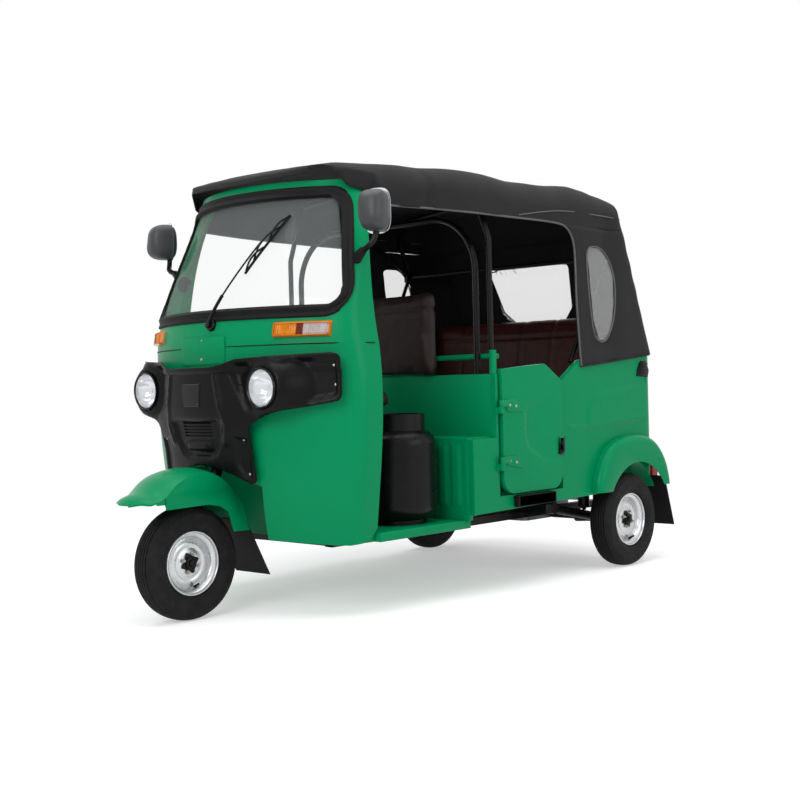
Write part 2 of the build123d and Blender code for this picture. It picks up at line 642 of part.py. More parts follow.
save(door.part.mirror(Plane.XZ), "door_right")

TAIL_HINGE_Y = 250
with BuildPart() as engine_door:
    add(block((BODY_REAR_X, -TAIL_DOOR_HALF, TAIL_DOOR_BOTTOM_Z),
              (BODY_REAR_X + SIDE_WALL, TAIL_DOOR_HALF, TAIL_DOOR_TOP_Z)))
    for side in (1, -1):
        y = side * TAIL_HINGE_Y
        add(rod((TAIL_HINGE_X, y - 28, TAIL_HINGE_Z), (TAIL_HINGE_X, y - GAP, TAIL_HINGE_Z), HINGE_RADIUS))
        add(block((TAIL_HINGE_X - 3, y - 28, TAIL_DOOR_TOP_Z - 40), (BODY_REAR_X, y - GAP, TAIL_HINGE_Z)))
        add(rod((TAIL_HINGE_X, y - 40, TAIL_HINGE_Z), (TAIL_HINGE_X, y, TAIL_HINGE_Z), PIN_RADIUS + GAP),
            mode=Mode.SUBTRACT)
save(engine_door.part, "engine_door")
with BuildPart() as body_hinges:
    add(hinges.part)
    add(hinges.part.mirror(Plane.XZ))
    for side in (1, -1):
        y = side * TAIL_HINGE_Y
        add(rod((TAIL_HINGE_X, y, TAIL_HINGE_Z), (TAIL_HINGE_X, y + 28, TAIL_HINGE_Z), HINGE_RADIUS))
        add(rod((TAIL_HINGE_X, y - 28, TAIL_HINGE_Z), (TAIL_HINGE_X, y, TAIL_HINGE_Z), PIN_RADIUS))
        add(block((TAIL_HINGE_X - 3, y, TAIL_HINGE_Z), (BODY_REAR_X - GAP, y + 28, TAIL_HINGE_Z + 28)))
save(body_hinges.part, "body_hinges")

# ---------------------------------------------------------------- canopy
# behind the front axle, half width, crown height, fall from crown to edge, shoulder radius
CANOPY_SECTIONS = ((-235, 452, 1588, 15, 70), (-450, 484, 1657, 22, 90), (-700, 556, 1677, 32, 105),
                   (-955, 592, 1698, 40, 117), (-1270, 604, 1692, 42, 125), (-1605, 606.5, 1697, 42, 125),
                   (-1963, 606.5, 1677, 42, 125), (-2330, 606.5, 1640, 42, 125))
CANOPY_BASE_Z = 860
CANOPY_PLAN = ((CANOPY_BASE_Z, -2315), (1720, -1977))
CANOPY_FRONT_RADIUS = 642


def canopy_solid(inset):
    """Outside of the canopy as one closed solid, drawn in by inset."""
    with BuildPart() as hood:
        for behind, half, crown, fall, shoulder in CANOPY_SECTIONS:
            side, edge_z = half - inset, crown - fall - inset
            with BuildSketch(Plane.YZ.offset(FRONT_AXLE_X + behind)) as outline:
                with BuildLine():
                    Polyline((-side, edge_z), (-side, CANOPY_BASE_Z - inset), (side, CANOPY_BASE_Z - inset),
                             (side, edge_z))
                    ThreePointArc((side, edge_z), (0, crown - inset), (-side, edge_z))
                make_face()
                fillet(outline.vertices().group_by(Axis.Y)[-1], shoulder - inset)
        loft()
    with BuildPart() as plan:
        for height, behind in CANOPY_PLAN:
            rear = FRONT_AXLE_X + behind + inset
            half = CANOPY_SECTIONS[-1][1] - inset
            with BuildSketch(Plane.XY.offset(height)) as outline:
                with BuildLine():
                    Polyline((rear, -half), (FRONT_AXLE_X, -half), (FRONT_AXLE_X, half), (rear, half), close=True)
                make_face()
                fillet(outline.vertices().group_by(Axis.X)[0], 97 - inset)
        loft(ruled=True)
    profile = ahead_of_axle(((-150, 800), (-150, 1745 - inset), (-1995 + inset, 1688 - inset), (-2410 + inset, 770)))
    with BuildPart() as crown_cut:
        with BuildSketch(Plane.XZ.offset(-700)) as outline:
            with BuildLine():
                Polyline(*profile, close=True)
            make_face()
            fillet(outline.vertices().group_by(Axis.Y)[-2], 110 - inset)
        extrude(amount=1400)
    with BuildPart() as canopy:
        add(hood.part)
        add(plan.part, mode=Mode.INTERSECT)
        add(crown_cut.part, mode=Mode.INTERSECT)
    return canopy.part


front_limit = nose_cylinder(CANOPY_FRONT_RADIUS, CANOPY_BASE_Z, 1800)
behind_nose = block((-1500, -800, CANOPY_BASE_Z - 10), (NOSE_CENTRE_X, 800, 1800))
front_room = nose_cylinder(CANOPY_FRONT_RADIUS - 8, CANOPY_BASE_Z - 10, 1800)
with BuildPart() as canopy_outer:
    add(front_limit)
    add(behind_nose)
    add(canopy_solid(0), mode=Mode.INTERSECT)
with BuildPart() as canopy_inner:
    add(front_room)
    add(behind_nose)
    add(canopy_solid(CANOPY_CLOTH), mode=Mode.INTERSECT)
with BuildPart() as canopy_skin:
    add(canopy_outer.part)
    add(canopy_inner.part, mode=Mode.SUBTRACT)

roof_outline = ahead_of_axle(((-150, 1572), (-400, 1572), (-480, OPENING_TOP_Z), (-2400, OPENING_TOP_Z),
                              (-2400, 1800), (-150, 1800)))
with BuildPart() as canopy_roof:
    add(canopy_skin.part)
    add(side_slab(roof_outline, -800, 800), mode=Mode.INTERSECT)
    add(front_body(FRAME_SECTIONS, -GAP, 2, 2), mode=Mode.SUBTRACT)
save(canopy_roof.part, "canopy_roof")

side_cloth = ahead_of_axle(((-1655, HEM_FRONT_Z), (-1632, 1173), (-1630, 1400), (-1605, 1462), (-1545, 1490),
                            (-2400, 1490), (-2400, HEM_REAR_Z + 8), (-2262, HEM_REAR_Z)))
quarter_window = ahead_of_axle(((-1720, 1403), (-1835, 1405), (-1921, 1330), (-1931, 1180), (-1905, 1040),
                                (-1867, 1003), (-1805, 1003), (-1762, 1090)))
rear_window = ((-240, 1385), (-205, 1180), (-150, 1125), (150, 1125), (205, 1180), (240, 1385))
with BuildPart() as canopy_left:
    add(canopy_skin.part)
    add(side_slab(side_cloth, CORNER_SEAM_Y, 800), mode=Mode.INTERSECT)
    add(side_slab(quarter_window, 560, 800, 22), mode=Mode.SUBTRACT)
    add(block((BODY_REAR_X, 500, CANOPY_BASE_Z), (DOOR_REAR_X, SIDE_Y + GAP, HEM_FRONT_Z + BODY_TOP_LAP + 5)),
        mode=Mode.SUBTRACT)
with BuildPart() as canopy_sides:
    add(canopy_left.part)
    add(canopy_left.part.mirror(Plane.XZ))
save(canopy_sides.part, "canopy_sides")
with BuildPart() as canopy_rear:
    add(canopy_skin.part)
    add(block((-1500, -CORNER_SEAM_Y, HEM_REAR_Z), (-700, CORNER_SEAM_Y, OPENING_TOP_Z)), mode=Mode.INTERSECT)
    add(front_prism(rear_window, -1500, -900, 22), mode=Mode.SUBTRACT)
save(canopy_rear.part, "canopy_rear")

# ---------------------------------------------------------------- hood frame
HOOD_PIVOT = (-1900, 1370)
KNEE_SHARE = 0.65
# foot behind the front axle, foot height, top behind the front axle, top height
HOOPS = ((-1082, 960, -1082, 1643.4), (HOOD_PIVOT[0] + 14, HOOD_PIVOT[1] + 14, -1420, 1643.4),
         (HOOD_PIVOT[0], HOOD_PIVOT[1] + 14, -1790, 1635.4))


def hoop(foot_x, foot_z, top_x, top_z, half=HOOP_HALF, radius=HOOP_RADIUS):
    """Bent tube up one side, across under the roof and down the other side."""
    foot, top = FRONT_AXLE_X + foot_x, FRONT_AXLE_X + top_x
    knee_x = foot + (top - foot) * KNEE_SHARE
    knee_z = foot_z + (top_z - foot_z) * KNEE_SHARE
    points = [(foot, half, foot_z), (knee_x, half, knee_z), (top, half - 90, top_z), (top, 200, top_z + HOOP_CAMBER),
              (top, -200, top_z + HOOP_CAMBER), (top, 90 - half, top_z), (knee_x, -half, knee_z), (foot, -half, foot_z)]
    return tube(points, radius, 60)


with BuildPart() as hood_hoops:
    for foot_x, foot_z, top_x, top_z in HOOPS[1:]:
        add(hoop(foot_x, foot_z, top_x, top_z))
    for side in (1, -1):
        y = side * HOOP_HALF
        pivot = (FRONT_AXLE_X + HOOD_PIVOT[0], y, HOOD_PIVOT[1])
        add(block((pivot[0] - 26, y - 10, pivot[2] - 26), (pivot[0] + 26, y + 10, pivot[2] + 26)))
        add(rod(pivot, (FRONT_AXLE_X - 1640, y - side * 26, HEM_FRONT_Z + 22), 9))
    add(rod((FRONT_AXLE_X + HOOD_PIVOT[0], -HOOP_HALF, HOOD_PIVOT[1]),
            (FRONT_AXLE_X + HOOD_PIVOT[0], HOOP_HALF, HOOD_PIVOT[1]), 9))
save(hood_hoops.part, "hood_hoops")
save(hoop(*HOOPS[0], PILLAR_HALF), "pillar_hoop")

PARTITION_HALF = 505
partition_points = [(BULKHEAD_UPPER_X - 10, PARTITION_HALF, BULKHEAD_TOP_Z + GAP),
                    (BULKHEAD_UPPER_X - 10, PARTITION_HALF, 1500), (BULKHEAD_UPPER_X - 10, -PARTITION_HALF, 1500),
                    (BULKHEAD_UPPER_X - 10, -PARTITION_HALF, BULKHEAD_TOP_Z + GAP)]
save(tube(partition_points, 12, 220), "partition_hoop")

HANDRAIL_Z = 960
with BuildPart() as handrail:
    for side in (1, -1):
        y = side * (HOOP_HALF - 4)
        add(rod((BULKHEAD_UPPER_X - 12, y, BULKHEAD_TOP_Z + GAP), (BULKHEAD_UPPER_X - 12, y, HANDRAIL_Z - GAP), 14))
    add(rod((BULKHEAD_UPPER_X - 36, -HOOP_HALF, HANDRAIL_Z - 24), (BULKHEAD_UPPER_X - 36, HOOP_HALF, HANDRAIL_Z - 24),
            11))
    for side in (1, -1):
        y = side * (HOOP_HALF - 4)
        add(block((BULKHEAD_UPPER_X - 38, y - 9, HANDRAIL_Z - 34), (BULKHEAD_UPPER_X - 12, y + 9, HANDRAIL_Z - 14)))
save(handrail.part, "handrail")

# ---------------------------------------------------------------- seats
SEAT_Z = 735
driver_seat_base = block((FRONT_AXLE_X - 860, -205, FLOOR_TOP_Z), (FRONT_AXLE_X - 560, 190, SEAT_Z))
save(driver_seat_base, "driver_seat_base")
with BuildPart(Plane(origin=(FRONT_AXLE_X - 700, 0, SEAT_Z + GAP + 42))) as driver_seat_cushion:
    Box(350, 460, 84)
    fillet(driver_seat_cushion.edges().filter_by(Axis.Z), 50)
    fillet(driver_seat_cushion.edges().group_by(Axis.Z)[-1], 25)
save(driver_seat_cushion.part, "driver_seat_cushion")
BACK_HALF = 302
with BuildPart(Plane(origin=(BULKHEAD_UPPER_X + 15, 0, BULKHEAD_TOP_Z + GAP + 170))) as driver_seat_back:
    Box(66, 2 * BACK_HALF, 340)
    fillet(driver_seat_back.edges().filter_by(Axis.X), 40)
    fillet(driver_seat_back.edges().group_by(Axis.X)[-1], 24)
save(driver_seat_back.part, "driver_seat_back")

REAR_SEAT_Z = 700
REAR_SEAT_HALF = 556
seat_box_outline = ahead_of_axle(((-1545, CABIN_FLOOR_Z - 17), (-1545, REAR_SEAT_Z), (-2140, REAR_SEAT_Z),
                                  (-2140, REAR_SEAT_Z - 15), (-1560, REAR_SEAT_Z - 15), (-1560, CABIN_FLOOR_Z - 17)))
seat_box = side_slab([(x - GAP, z) for x, z in seat_box_outline], -SIDE_Y + SIDE_WALL + GAP, SIDE_Y - SIDE_WALL - GAP)
save(seat_box, "rear_seat_base")
cushion_outline = ahead_of_axle(((-1530, REAR_SEAT_Z + GAP), (-1985, REAR_SEAT_Z + GAP), (-1985, 800), (-1530, 815)))
save(side_slab(cushion_outline, -REAR_SEAT_HALF, REAR_SEAT_HALF, 30), "rear_seat_cushion")
back_outline = ahead_of_axle(((-1990, REAR_SEAT_Z + GAP), (-2080, REAR_SEAT_Z + GAP), (-2150, 1128), (-2080, 1128)))
save(side_slab(back_outline, -REAR_SEAT_HALF, REAR_SEAT_HALF, 25), "rear_seat_back")

# ---------------------------------------------------------------- gas cylinder
GAS_X = FRONT_AXLE_X - 742
GAS_Y = 362
GAS_RADIUS = 155
GAS_FOOT_RADIUS = 115
with BuildPart() as gas_cylinder:
    with BuildSketch(Plane(origin=(GAS_X, GAS_Y, FLOOR_TOP_Z + 14))):
        Circle(GAS_RADIUS)
    extrude(amount=345)
    fillet(gas_cylinder.edges(), 55)
    with BuildSketch(Plane(origin=(GAS_X, GAS_Y, FLOOR_TOP_Z + GAP))):
        Circle(GAS_FOOT_RADIUS)
    extrude(amount=40)
    with BuildSketch(Plane(origin=(GAS_X, GAS_Y, FLOOR_TOP_Z + 340))):
        Circle(GAS_FOOT_RADIUS)
        Circle(GAS_FOOT_RADIUS - 8, mode=Mode.SUBTRACT)
    extrude(amount=80)
    with BuildSketch(Plane(origin=(GAS_X, GAS_Y, FLOOR_TOP_Z + 350))):
        Circle(24)
    extrude(amount=50)
save(gas_cylinder.part, "gas_cylinder")

# ---------------------------------------------------------------- mirrors, wiper, inside fittings
MIRROR_X = FRONT_AXLE_X - 408   # front of the head
MIRROR_Y = 604
MIRROR_Z = 1450
with BuildPart() as mirror_head:
    with BuildSketch(Plane.YZ.offset(MIRROR_X - 50)):
        with Locations((MIRROR_Y, MIRROR_Z)):
            RectangleRounded(126, 182, 40)
    extrude(amount=50)
    fillet(mirror_head.edges().group_by(Axis.X)[-1], 18)
with BuildPart() as mirror:
    add(mirror_head.part)
    add(rod((COWL_REAR_X + 40, 496, 1285), (MIRROR_X + 8, 580, 1330), 11))
    add(rod((MIRROR_X + 8, 580, 1330), (MIRROR_X - 22, 596, 1400), 9))
    add(frame_outer, mode=Mode.SUBTRACT)
with BuildPart() as mirrors:
    add(mirror.part)
    add(mirror.part.mirror(Plane.XZ))
save(mirrors.part, "mirrors")


def front_skin_point(y, z, proud):
    """Point standing proud of the windscreen's surface, which narrows evenly between the section heights."""
    for (low_z, low_r, _, _), (high_z, high_r, _, _) in zip(FRAME_SECTIONS, FRAME_SECTIONS[1:]):
        if low_z <= z <= high_z:
            radius = low_r + (high_r - low_r) * (z - low_z) / (high_z - low_z)
            return (NOSE_CENTRE_X + sqrt((radius + proud) ** 2 - y ** 2), y, z)


WIPER_FOOT = (48, 1066)
WIPER_TIP = (268, 1460)
BLADE_LOW = (165, 1235)
with BuildPart() as wiper:
    add(rod(front_skin_point(*WIPER_FOOT, -1), front_skin_point(*WIPER_FOOT, 34), 12))
    add(rod(front_skin_point(*WIPER_FOOT, 28), front_skin_point(*WIPER_TIP, 30), 5))
    add(rod(front_skin_point(*BLADE_LOW, 22), front_skin_point(*WIPER_TIP, 22), 6))
    add(frame_outer, mode=Mode.SUBTRACT)
save(wiper.part, "wiper")

with BuildPart() as dash_panel:
    add(cowl_room)
    add(block((FRONT_AXLE_X - 215, -400, 940), (FRONT_AXLE_X, 400, 955)), mode=Mode.INTERSECT)
    add(block((FRONT_AXLE_X - 205, -110, 950), (FRONT_AXLE_X - 150, 110, 1030)))
save(dash_panel.part, "dash_panel")

with BuildPart() as brake_pedal:
    add(rod((FRONT_AXLE_X - 560, -230, FLOOR_TOP_Z + 3), (FRONT_AXLE_X - 520, -230, FLOOR_TOP_Z + 110), 8))
    add(block((FRONT_AXLE_X - 545, -265, FLOOR_TOP_Z + 105), (FRONT_AXLE_X - 485, -195, FLOOR_TOP_Z + 120)))
save(brake_pedal.part, "brake_pedal")

# ---------------------------------------------------------------- chassis, engine, rear suspension
RAIL_Y = 300
ENGINE_X = REAR_AXLE_X + 20
ENGINE_HALF = 190
OUTRIGGER_HALF = 470
OUTRIGGER_REAR_X = SEAT_BOX_FRONT_X - 60
with BuildPart() as chassis:
    for side in (1, -1):
        y = side * RAIL_Y
        add(block((BODY_REAR_X + 30, y - 20, RAIL_LOW_Z), (COWL_REAR_X + 20, y + 20, FLOOR_BOTTOM_Z - GAP)))
        add(block((BODY_REAR_X + 30, y - 20, RAIL_LOW_Z), (BODY_REAR_X + 60, y + 20, 400)))
        add(block((SEAT_BOX_FRONT_X - 60, y - 20, RAIL_LOW_Z), (SEAT_BOX_FRONT_X - 20, y + 20, REAR_SEAT_Z - 16)))
        add(block((FRONT_AXLE_X - 1200, y - 20, RAIL_LOW_Z), (FRONT_AXLE_X - 1160, y + 20, CABIN_FLOOR_Z - 17 - GAP)))
    for x in (COWL_REAR_X - 20, FRONT_AXLE_X - 1180, SEAT_BOX_FRONT_X - 40):
        add(block((x - 18, -RAIL_Y, RAIL_LOW_Z), (x + 18, RAIL_Y, FLOOR_BOTTOM_Z - GAP)))
    add(block((BODY_REAR_X + 30, -BUMPER_HALF - BUMPER_RADIUS, BUMPER_Z + BUMPER_RADIUS + GAP),
              (BODY_REAR_X + 60, BUMPER_HALF + BUMPER_RADIUS, 400)))
    for side in (1, -1):
        low, high = sorted((side * RAIL_Y, side * OUTRIGGER_HALF))
        add(block((OUTRIGGER_REAR_X, low, 262), (OUTRIGGER_REAR_X + 40, high, 302)))
        low, high = sorted((side * RAIL_Y, side * (ENGINE_HALF + GAP)))
        add(block((ENGINE_X + 60, low, RAIL_LOW_Z + 5), (ENGINE_X + 100, high, FLOOR_BOTTOM_Z - 5)))
    add(rod(on_steer_axis(HEAD_TUBE_BOTTOM), on_steer_axis(HEAD_TUBE_TOP), COLUMN_RADIUS + GAP + HEAD_TUBE_WALL))
    add(tube([on_steer_axis(HEAD_TUBE_TOP - 60), (DOWN_TUBE_X, 0, 590),
              (DOWN_TUBE_X, 0, RAIL_LOW_Z + 5)], DOWN_TUBE_RADIUS, 60))
    add(rod(on_steer_axis(0), on_steer_axis(COLUMN_TOP), COLUMN_RADIUS + GAP), mode=Mode.SUBTRACT)
save(chassis.part, "chassis")

ENGINE_REAR_X = ENGINE_X - 170
SILENCER_RADIUS = 42
engine = block((ENGINE_REAR_X, -ENGINE_HALF, 195), (ENGINE_X + 190, ENGINE_HALF, 470), 30)
save(engine, "engine")
silencer_x = ENGINE_REAR_X - SILENCER_RADIUS - GAP
save(rod((silencer_x, -230, 300), (silencer_x, 150, 300), SILENCER_RADIUS), "silencer")

ARM_END_Y = 470
PIVOT_RADIUS = 26
SHAFT_RADIUS = 14
with BuildPart() as trailing_arms:
    for side in (1, -1):
        pivot = (OUTRIGGER_REAR_X - PIVOT_RADIUS - GAP, side * 430, 282)
        add(rod((pivot[0], side * 392, 282), (pivot[0], side * OUTRIGGER_HALF, 282), PIVOT_RADIUS))
        add(rod(pivot, (REAR_AXLE_X, side * 452, AXLE_Z), 20))
        add(rod((REAR_AXLE_X, side * 432, AXLE_Z), (REAR_AXLE_X, side * ARM_END_Y, AXLE_Z), 40))
        add(rod((REAR_AXLE_X, side * 400, AXLE_Z), (REAR_AXLE_X, side * 500, AXLE_Z), SHAFT_RADIUS + GAP),
            mode=Mode.SUBTRACT)
save(trailing_arms.part, "trailing_arms")
SHOCK_X = REAR_AXLE_X + 90
with BuildPart() as rear_shocks:
    for side in (1, -1):
        add(rod((SHOCK_X, side * 430, 249), (SHOCK_X + 5, side * 430, 310), 9))
        add(rod((SHOCK_X + 1, side * 430, 264), (SHOCK_X + 30, side * 430, REAR_SEAT_Z - 17.5), 26))
save(rear_shocks.part, "rear_shocks")


# ---------------------------------------------------------------- wheels
def profile_ring(points, centre):
    """Revolve a closed outline (radius, across) fully about an axle."""
    with BuildPart() as ring:
        with BuildSketch(arc_plane(centre, 0)):
            with BuildLine():
                Polyline(*points, close=True)
            make_face()
        revolve(axis=Axis(centre, (0, 1, 0)))
    return ring.part


half_width = TYRE_WIDTH / 2
tyre_half = ((TYRE_BEAD_RADIUS, 37), (135, half_width - 4), (160, half_width), (185, half_width - 2),
             (201, half_width - 14), (TYRE_RADIUS, 18))
tyre_outline = list(tyre_half) + [(r, -y) for r, y in reversed(tyre_half)]
rim_out = TYRE_BEAD_RADIUS - GAP
rim_half = ((rim_out, 40), (rim_out, 30), (rim_out - 14, 26), (rim_out - 20, 0))
rim_outline = ([(r, y) for r, y in rim_half] + [(r, -y) for r, y in reversed(rim_half[:-1])]
               + [(rim_out - RIM_WALL, -40), (rim_out - 18, -30), (rim_out - 24, 0), (rim_out - 18, 30),
                  (rim_out - RIM_WALL, 40)])
DISC_Y = 6
DRUM_RADIUS = 84


def wheel_rim(centre, outer, bore):
    """Pressed rim with its disc, hub and brake drum; outer is +1 where the open face looks to the left."""
    with BuildPart() as rim:
        add(profile_ring(rim_outline, centre))
        with BuildSketch(arc_plane(centre, 0)):
            with BuildLine():
                Polyline(*[(r, outer * c) for r, c in (
                    (bore, -46), (DRUM_RADIUS, -46), (DRUM_RADIUS, DISC_Y - 4), (rim_out - 20, DISC_Y - 4),
                    (rim_out - 20, DISC_Y), (60, DISC_Y + 14), (HUB_RADIUS, DISC_Y + 14),
                    (HUB_RADIUS - 10, DISC_Y + 30), (bore, DISC_Y + 30))], close=True)
            make_face()
        revolve(axis=Axis(centre, (0, 1, 0)))
    return rim.part


front_centre = (FRONT_AXLE_X, 0, AXLE_Z)
save(profile_ring(tyre_outline, front_centre), "front_tyre")
save(wheel_rim(front_centre, 1, AXLE_RADIUS + GAP), "front_rim")
for side, name in ((1, "left"), (-1, "right")):
    centre = (REAR_AXLE_X, side * REAR_TRACK / 2, AXLE_Z)
    save(profile_ring(tyre_outline, centre), f"rear_tyre_{name}")
    with BuildPart() as rear_rim:
        add(wheel_rim(centre, side, 6))
        add(rod((REAR_AXLE_X, side * (ENGINE_HALF + GAP), AXLE_Z),
                (REAR_AXLE_X, side * (REAR_TRACK / 2 - 40), AXLE_Z), SHAFT_RADIUS))
    save(rear_rim.part, f"rear_rim_{name}")

# ---------------------------------------------------------------- steering parts
LINK_PIVOT = (FRONT_AXLE_X - 100, ARM_Y, 250)
SHOCK_TOP_Z = 434
with BuildPart() as front_fork:
    add(rod(on_steer_axis(COLUMN_BOTTOM), on_steer_axis(COLUMN_TOP), COLUMN_RADIUS))
    add(tube([on_steer_axis(COLUMN_BOTTOM + 16), (FRONT_AXLE_X - 140, ARM_Y, 430), LINK_PIVOT], ARM_RADIUS, 30))
    add(rod((LINK_PIVOT[0], ARM_Y - 15, LINK_PIVOT[2]), (LINK_PIVOT[0], ARM_Y + 15, LINK_PIVOT[2]), 20))
    add(rod(LINK_PIVOT, (FRONT_AXLE_X, ARM_Y, AXLE_Z), 13))
    add(rod((FRONT_AXLE_X, ARM_Y - 15, AXLE_Z), (FRONT_AXLE_X, ARM_Y + 15, AXLE_Z), 20))
    add(rod((FRONT_AXLE_X, ARM_Y - 15, AXLE_Z), (FRONT_AXLE_X, DISC_Y + 28, AXLE_Z), AXLE_RADIUS))
    add(block((FRONT_AXLE_X - 140, ARM_Y - 10, SHOCK_TOP_Z), (FRONT_AXLE_X - 30, ARM_Y + 10, SHOCK_TOP_Z + 12)))
save(front_fork.part, "front_fork")
with BuildPart() as front_shock:
    add(rod((FRONT_AXLE_X - 42, ARM_Y, 243.6), (FRONT_AXLE_X - 52, ARM_Y, SHOCK_TOP_Z - GAP), 8))
    add(rod((FRONT_AXLE_X - 43, ARM_Y, 265), (FRONT_AXLE_X - 51.5, ARM_Y, SHOCK_TOP_Z - 12), 16))
save(front_shock.part, "front_shock")

# angle up from straight ahead, radius at the crown, radius at the shoulder
MUDGUARD_SECTIONS = ((36, 341, 300), (54, 333, 304), (66, 336, 314), (77, 343, 325), (90, 345, 328), (99, 341, 324),
                     (109, 326, 309), (123, 298, 281), (137, 274, 256), (156, 260, 243))
MUDGUARD_HALF = 112
# side view line of its lower edge, and its plan towards the tip: from the front axle
MUDGUARD_LOWER_EDGE = ((300, 411), (222, 415), (-20, 421), (-75, 411), (-112, 387), (-136, 313), (-400, 306))
BEAK = ((-420, 140), (130, 140), (224, 100), (FRONT_OVERHANG, 30))


def mudguard_solid(inset):
    """Space under the front mudguard's skin, drawn in by inset."""
    with BuildPart() as solid:
        for angle, crown, shoulder in MUDGUARD_SECTIONS:
            half = MUDGUARD_HALF - inset
            with BuildSketch(arc_plane(front_centre, angle)):
                with BuildLine():
                    Polyline((shoulder - inset, -half), (120, -half), (120, half), (shoulder - inset, half))
                    ThreePointArc((shoulder - inset, half), (crown - inset, 0), (shoulder - inset, -half))
                make_face()
        loft()
    return solid.part


mudguard_underside = side_slab(ahead_of_axle(((300, 50), *MUDGUARD_LOWER_EDGE, (-400, 50))), -200, 200)
with BuildPart() as front_mudguard:
    add(mudguard_solid(0))
    add(mudguard_solid(SHEET), mode=Mode.SUBTRACT)
    add(mudguard_underside, mode=Mode.SUBTRACT)
    with BuildSketch(Plane.XY.offset(200)):
        with BuildLine():
            Polyline(*[(FRONT_AXLE_X + x, y) for x, y in BEAK],
                     *[(FRONT_AXLE_X + x, -y) for x, y in reversed(BEAK)], close=True)
        make_face()
    extrude(amount=500, mode=Mode.INTERSECT)
    add(rod(on_steer_axis(100), on_steer_axis(500), COLUMN_RADIUS + GAP), mode=Mode.SUBTRACT)
save(front_mudguard.part, "front_mudguard")

FLAP_HALF = 97
flap_side = ahead_of_axle(((-205, 345), (-209, 345), (-318, 132), (-314, 132)))
with BuildPart() as front_mudflap:
    add(side_slab(flap_side, -FLAP_HALF, FLAP_HALF))
    add(front_mudguard.part, mode=Mode.SUBTRACT)
save(front_mudflap.part.solids().sort_by(SortBy.VOLUME)[-1], "front_mudflap")

bar_foot = Vector(*on_steer_axis(COLUMN_TOP))
bar_x, bar_z = bar_foot.X - BAR_SETBACK * cos(RAKE), bar_foot.Z - BAR_SETBACK * sin(RAKE) + 60
with BuildPart() as handlebar:
    add(rod(on_steer_axis(COLUMN_TOP + GAP), on_steer_axis(COLUMN_TOP + 50), 30))
    add(rod(on_steer_axis(COLUMN_TOP + 25), (bar_x, 0, bar_z), 16))
    add(rod((bar_x, GRIP_LENGTH - BAR_HALF, bar_z), (bar_x, BAR_HALF - GRIP_LENGTH, bar_z), 12))
save(handlebar.part, "handlebar")
with BuildPart() as handlebar_grips:
    for side in (1, -1):
        add(rod((bar_x, side * (BAR_HALF - GRIP_LENGTH + GAP), bar_z), (bar_x, side * BAR_HALF, bar_z), GRIP_RADIUS))
save(handlebar_grips.part, "handlebar_grips")
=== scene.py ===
"""Auto rickshaw with a soft canopy: the finished look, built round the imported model."""
import math

import bmesh
import bpy
from mathutils import Matrix, Vector, noise
from mathutils.bvhtree import BVHTree
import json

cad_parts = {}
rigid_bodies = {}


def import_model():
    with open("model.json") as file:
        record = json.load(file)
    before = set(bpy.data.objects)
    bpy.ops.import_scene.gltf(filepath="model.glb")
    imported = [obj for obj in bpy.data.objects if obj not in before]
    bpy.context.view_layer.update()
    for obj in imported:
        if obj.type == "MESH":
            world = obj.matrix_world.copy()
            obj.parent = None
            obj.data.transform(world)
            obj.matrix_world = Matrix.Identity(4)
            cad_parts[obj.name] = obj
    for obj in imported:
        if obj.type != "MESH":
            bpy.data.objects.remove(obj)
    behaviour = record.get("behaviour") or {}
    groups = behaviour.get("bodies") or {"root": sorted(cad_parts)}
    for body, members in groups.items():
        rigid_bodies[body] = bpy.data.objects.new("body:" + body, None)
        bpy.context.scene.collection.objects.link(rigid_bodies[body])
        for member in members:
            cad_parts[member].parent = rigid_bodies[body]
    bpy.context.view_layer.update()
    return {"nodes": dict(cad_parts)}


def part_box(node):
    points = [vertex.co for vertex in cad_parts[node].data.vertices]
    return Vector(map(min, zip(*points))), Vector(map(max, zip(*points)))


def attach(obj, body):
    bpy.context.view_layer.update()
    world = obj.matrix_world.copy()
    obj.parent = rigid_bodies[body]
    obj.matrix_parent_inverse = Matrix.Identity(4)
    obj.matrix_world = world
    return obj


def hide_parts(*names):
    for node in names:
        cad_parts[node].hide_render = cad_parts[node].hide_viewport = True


for spare in list(bpy.data.objects):
    bpy.data.objects.remove(spare)
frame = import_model()
nodes = frame["nodes"]

# ---------------------------------------------------------------- places and sizes, in metres
FRONT_AXLE = Vector((1.0555, 0, 0.207))
REAR_AXLE_X = -0.9445
REAR_WHEEL_Y = 0.575
NOSE_CENTRE_X = FRONT_AXLE.x - 0.897
SIDE_Y = 0.600
DOOR_FACE_Y = 0.612
STEER_TILT = math.radians(20)
LAMP_Y = 0.334
LAMP_Z = 0.833
LAMP_FRONT_X = FRONT_AXLE.x - 0.084

BODY, STEERING, FRONT_WHEEL = "vehicle_body", "steering", "front_wheel"

WORLD_LIGHT = 0.38
FLOOR_GLOW = 0.42


# ---------------------------------------------------------------- finishes
def srgb(red, green, blue):
    """Linear colour from 0 to 255 screen values."""
    def linear(value):
        share = value / 255
        return share / 12.92 if share <= 0.04045 else ((share + 0.055) / 1.055) ** 2.4
    return (linear(red), linear(green), linear(blue), 1)


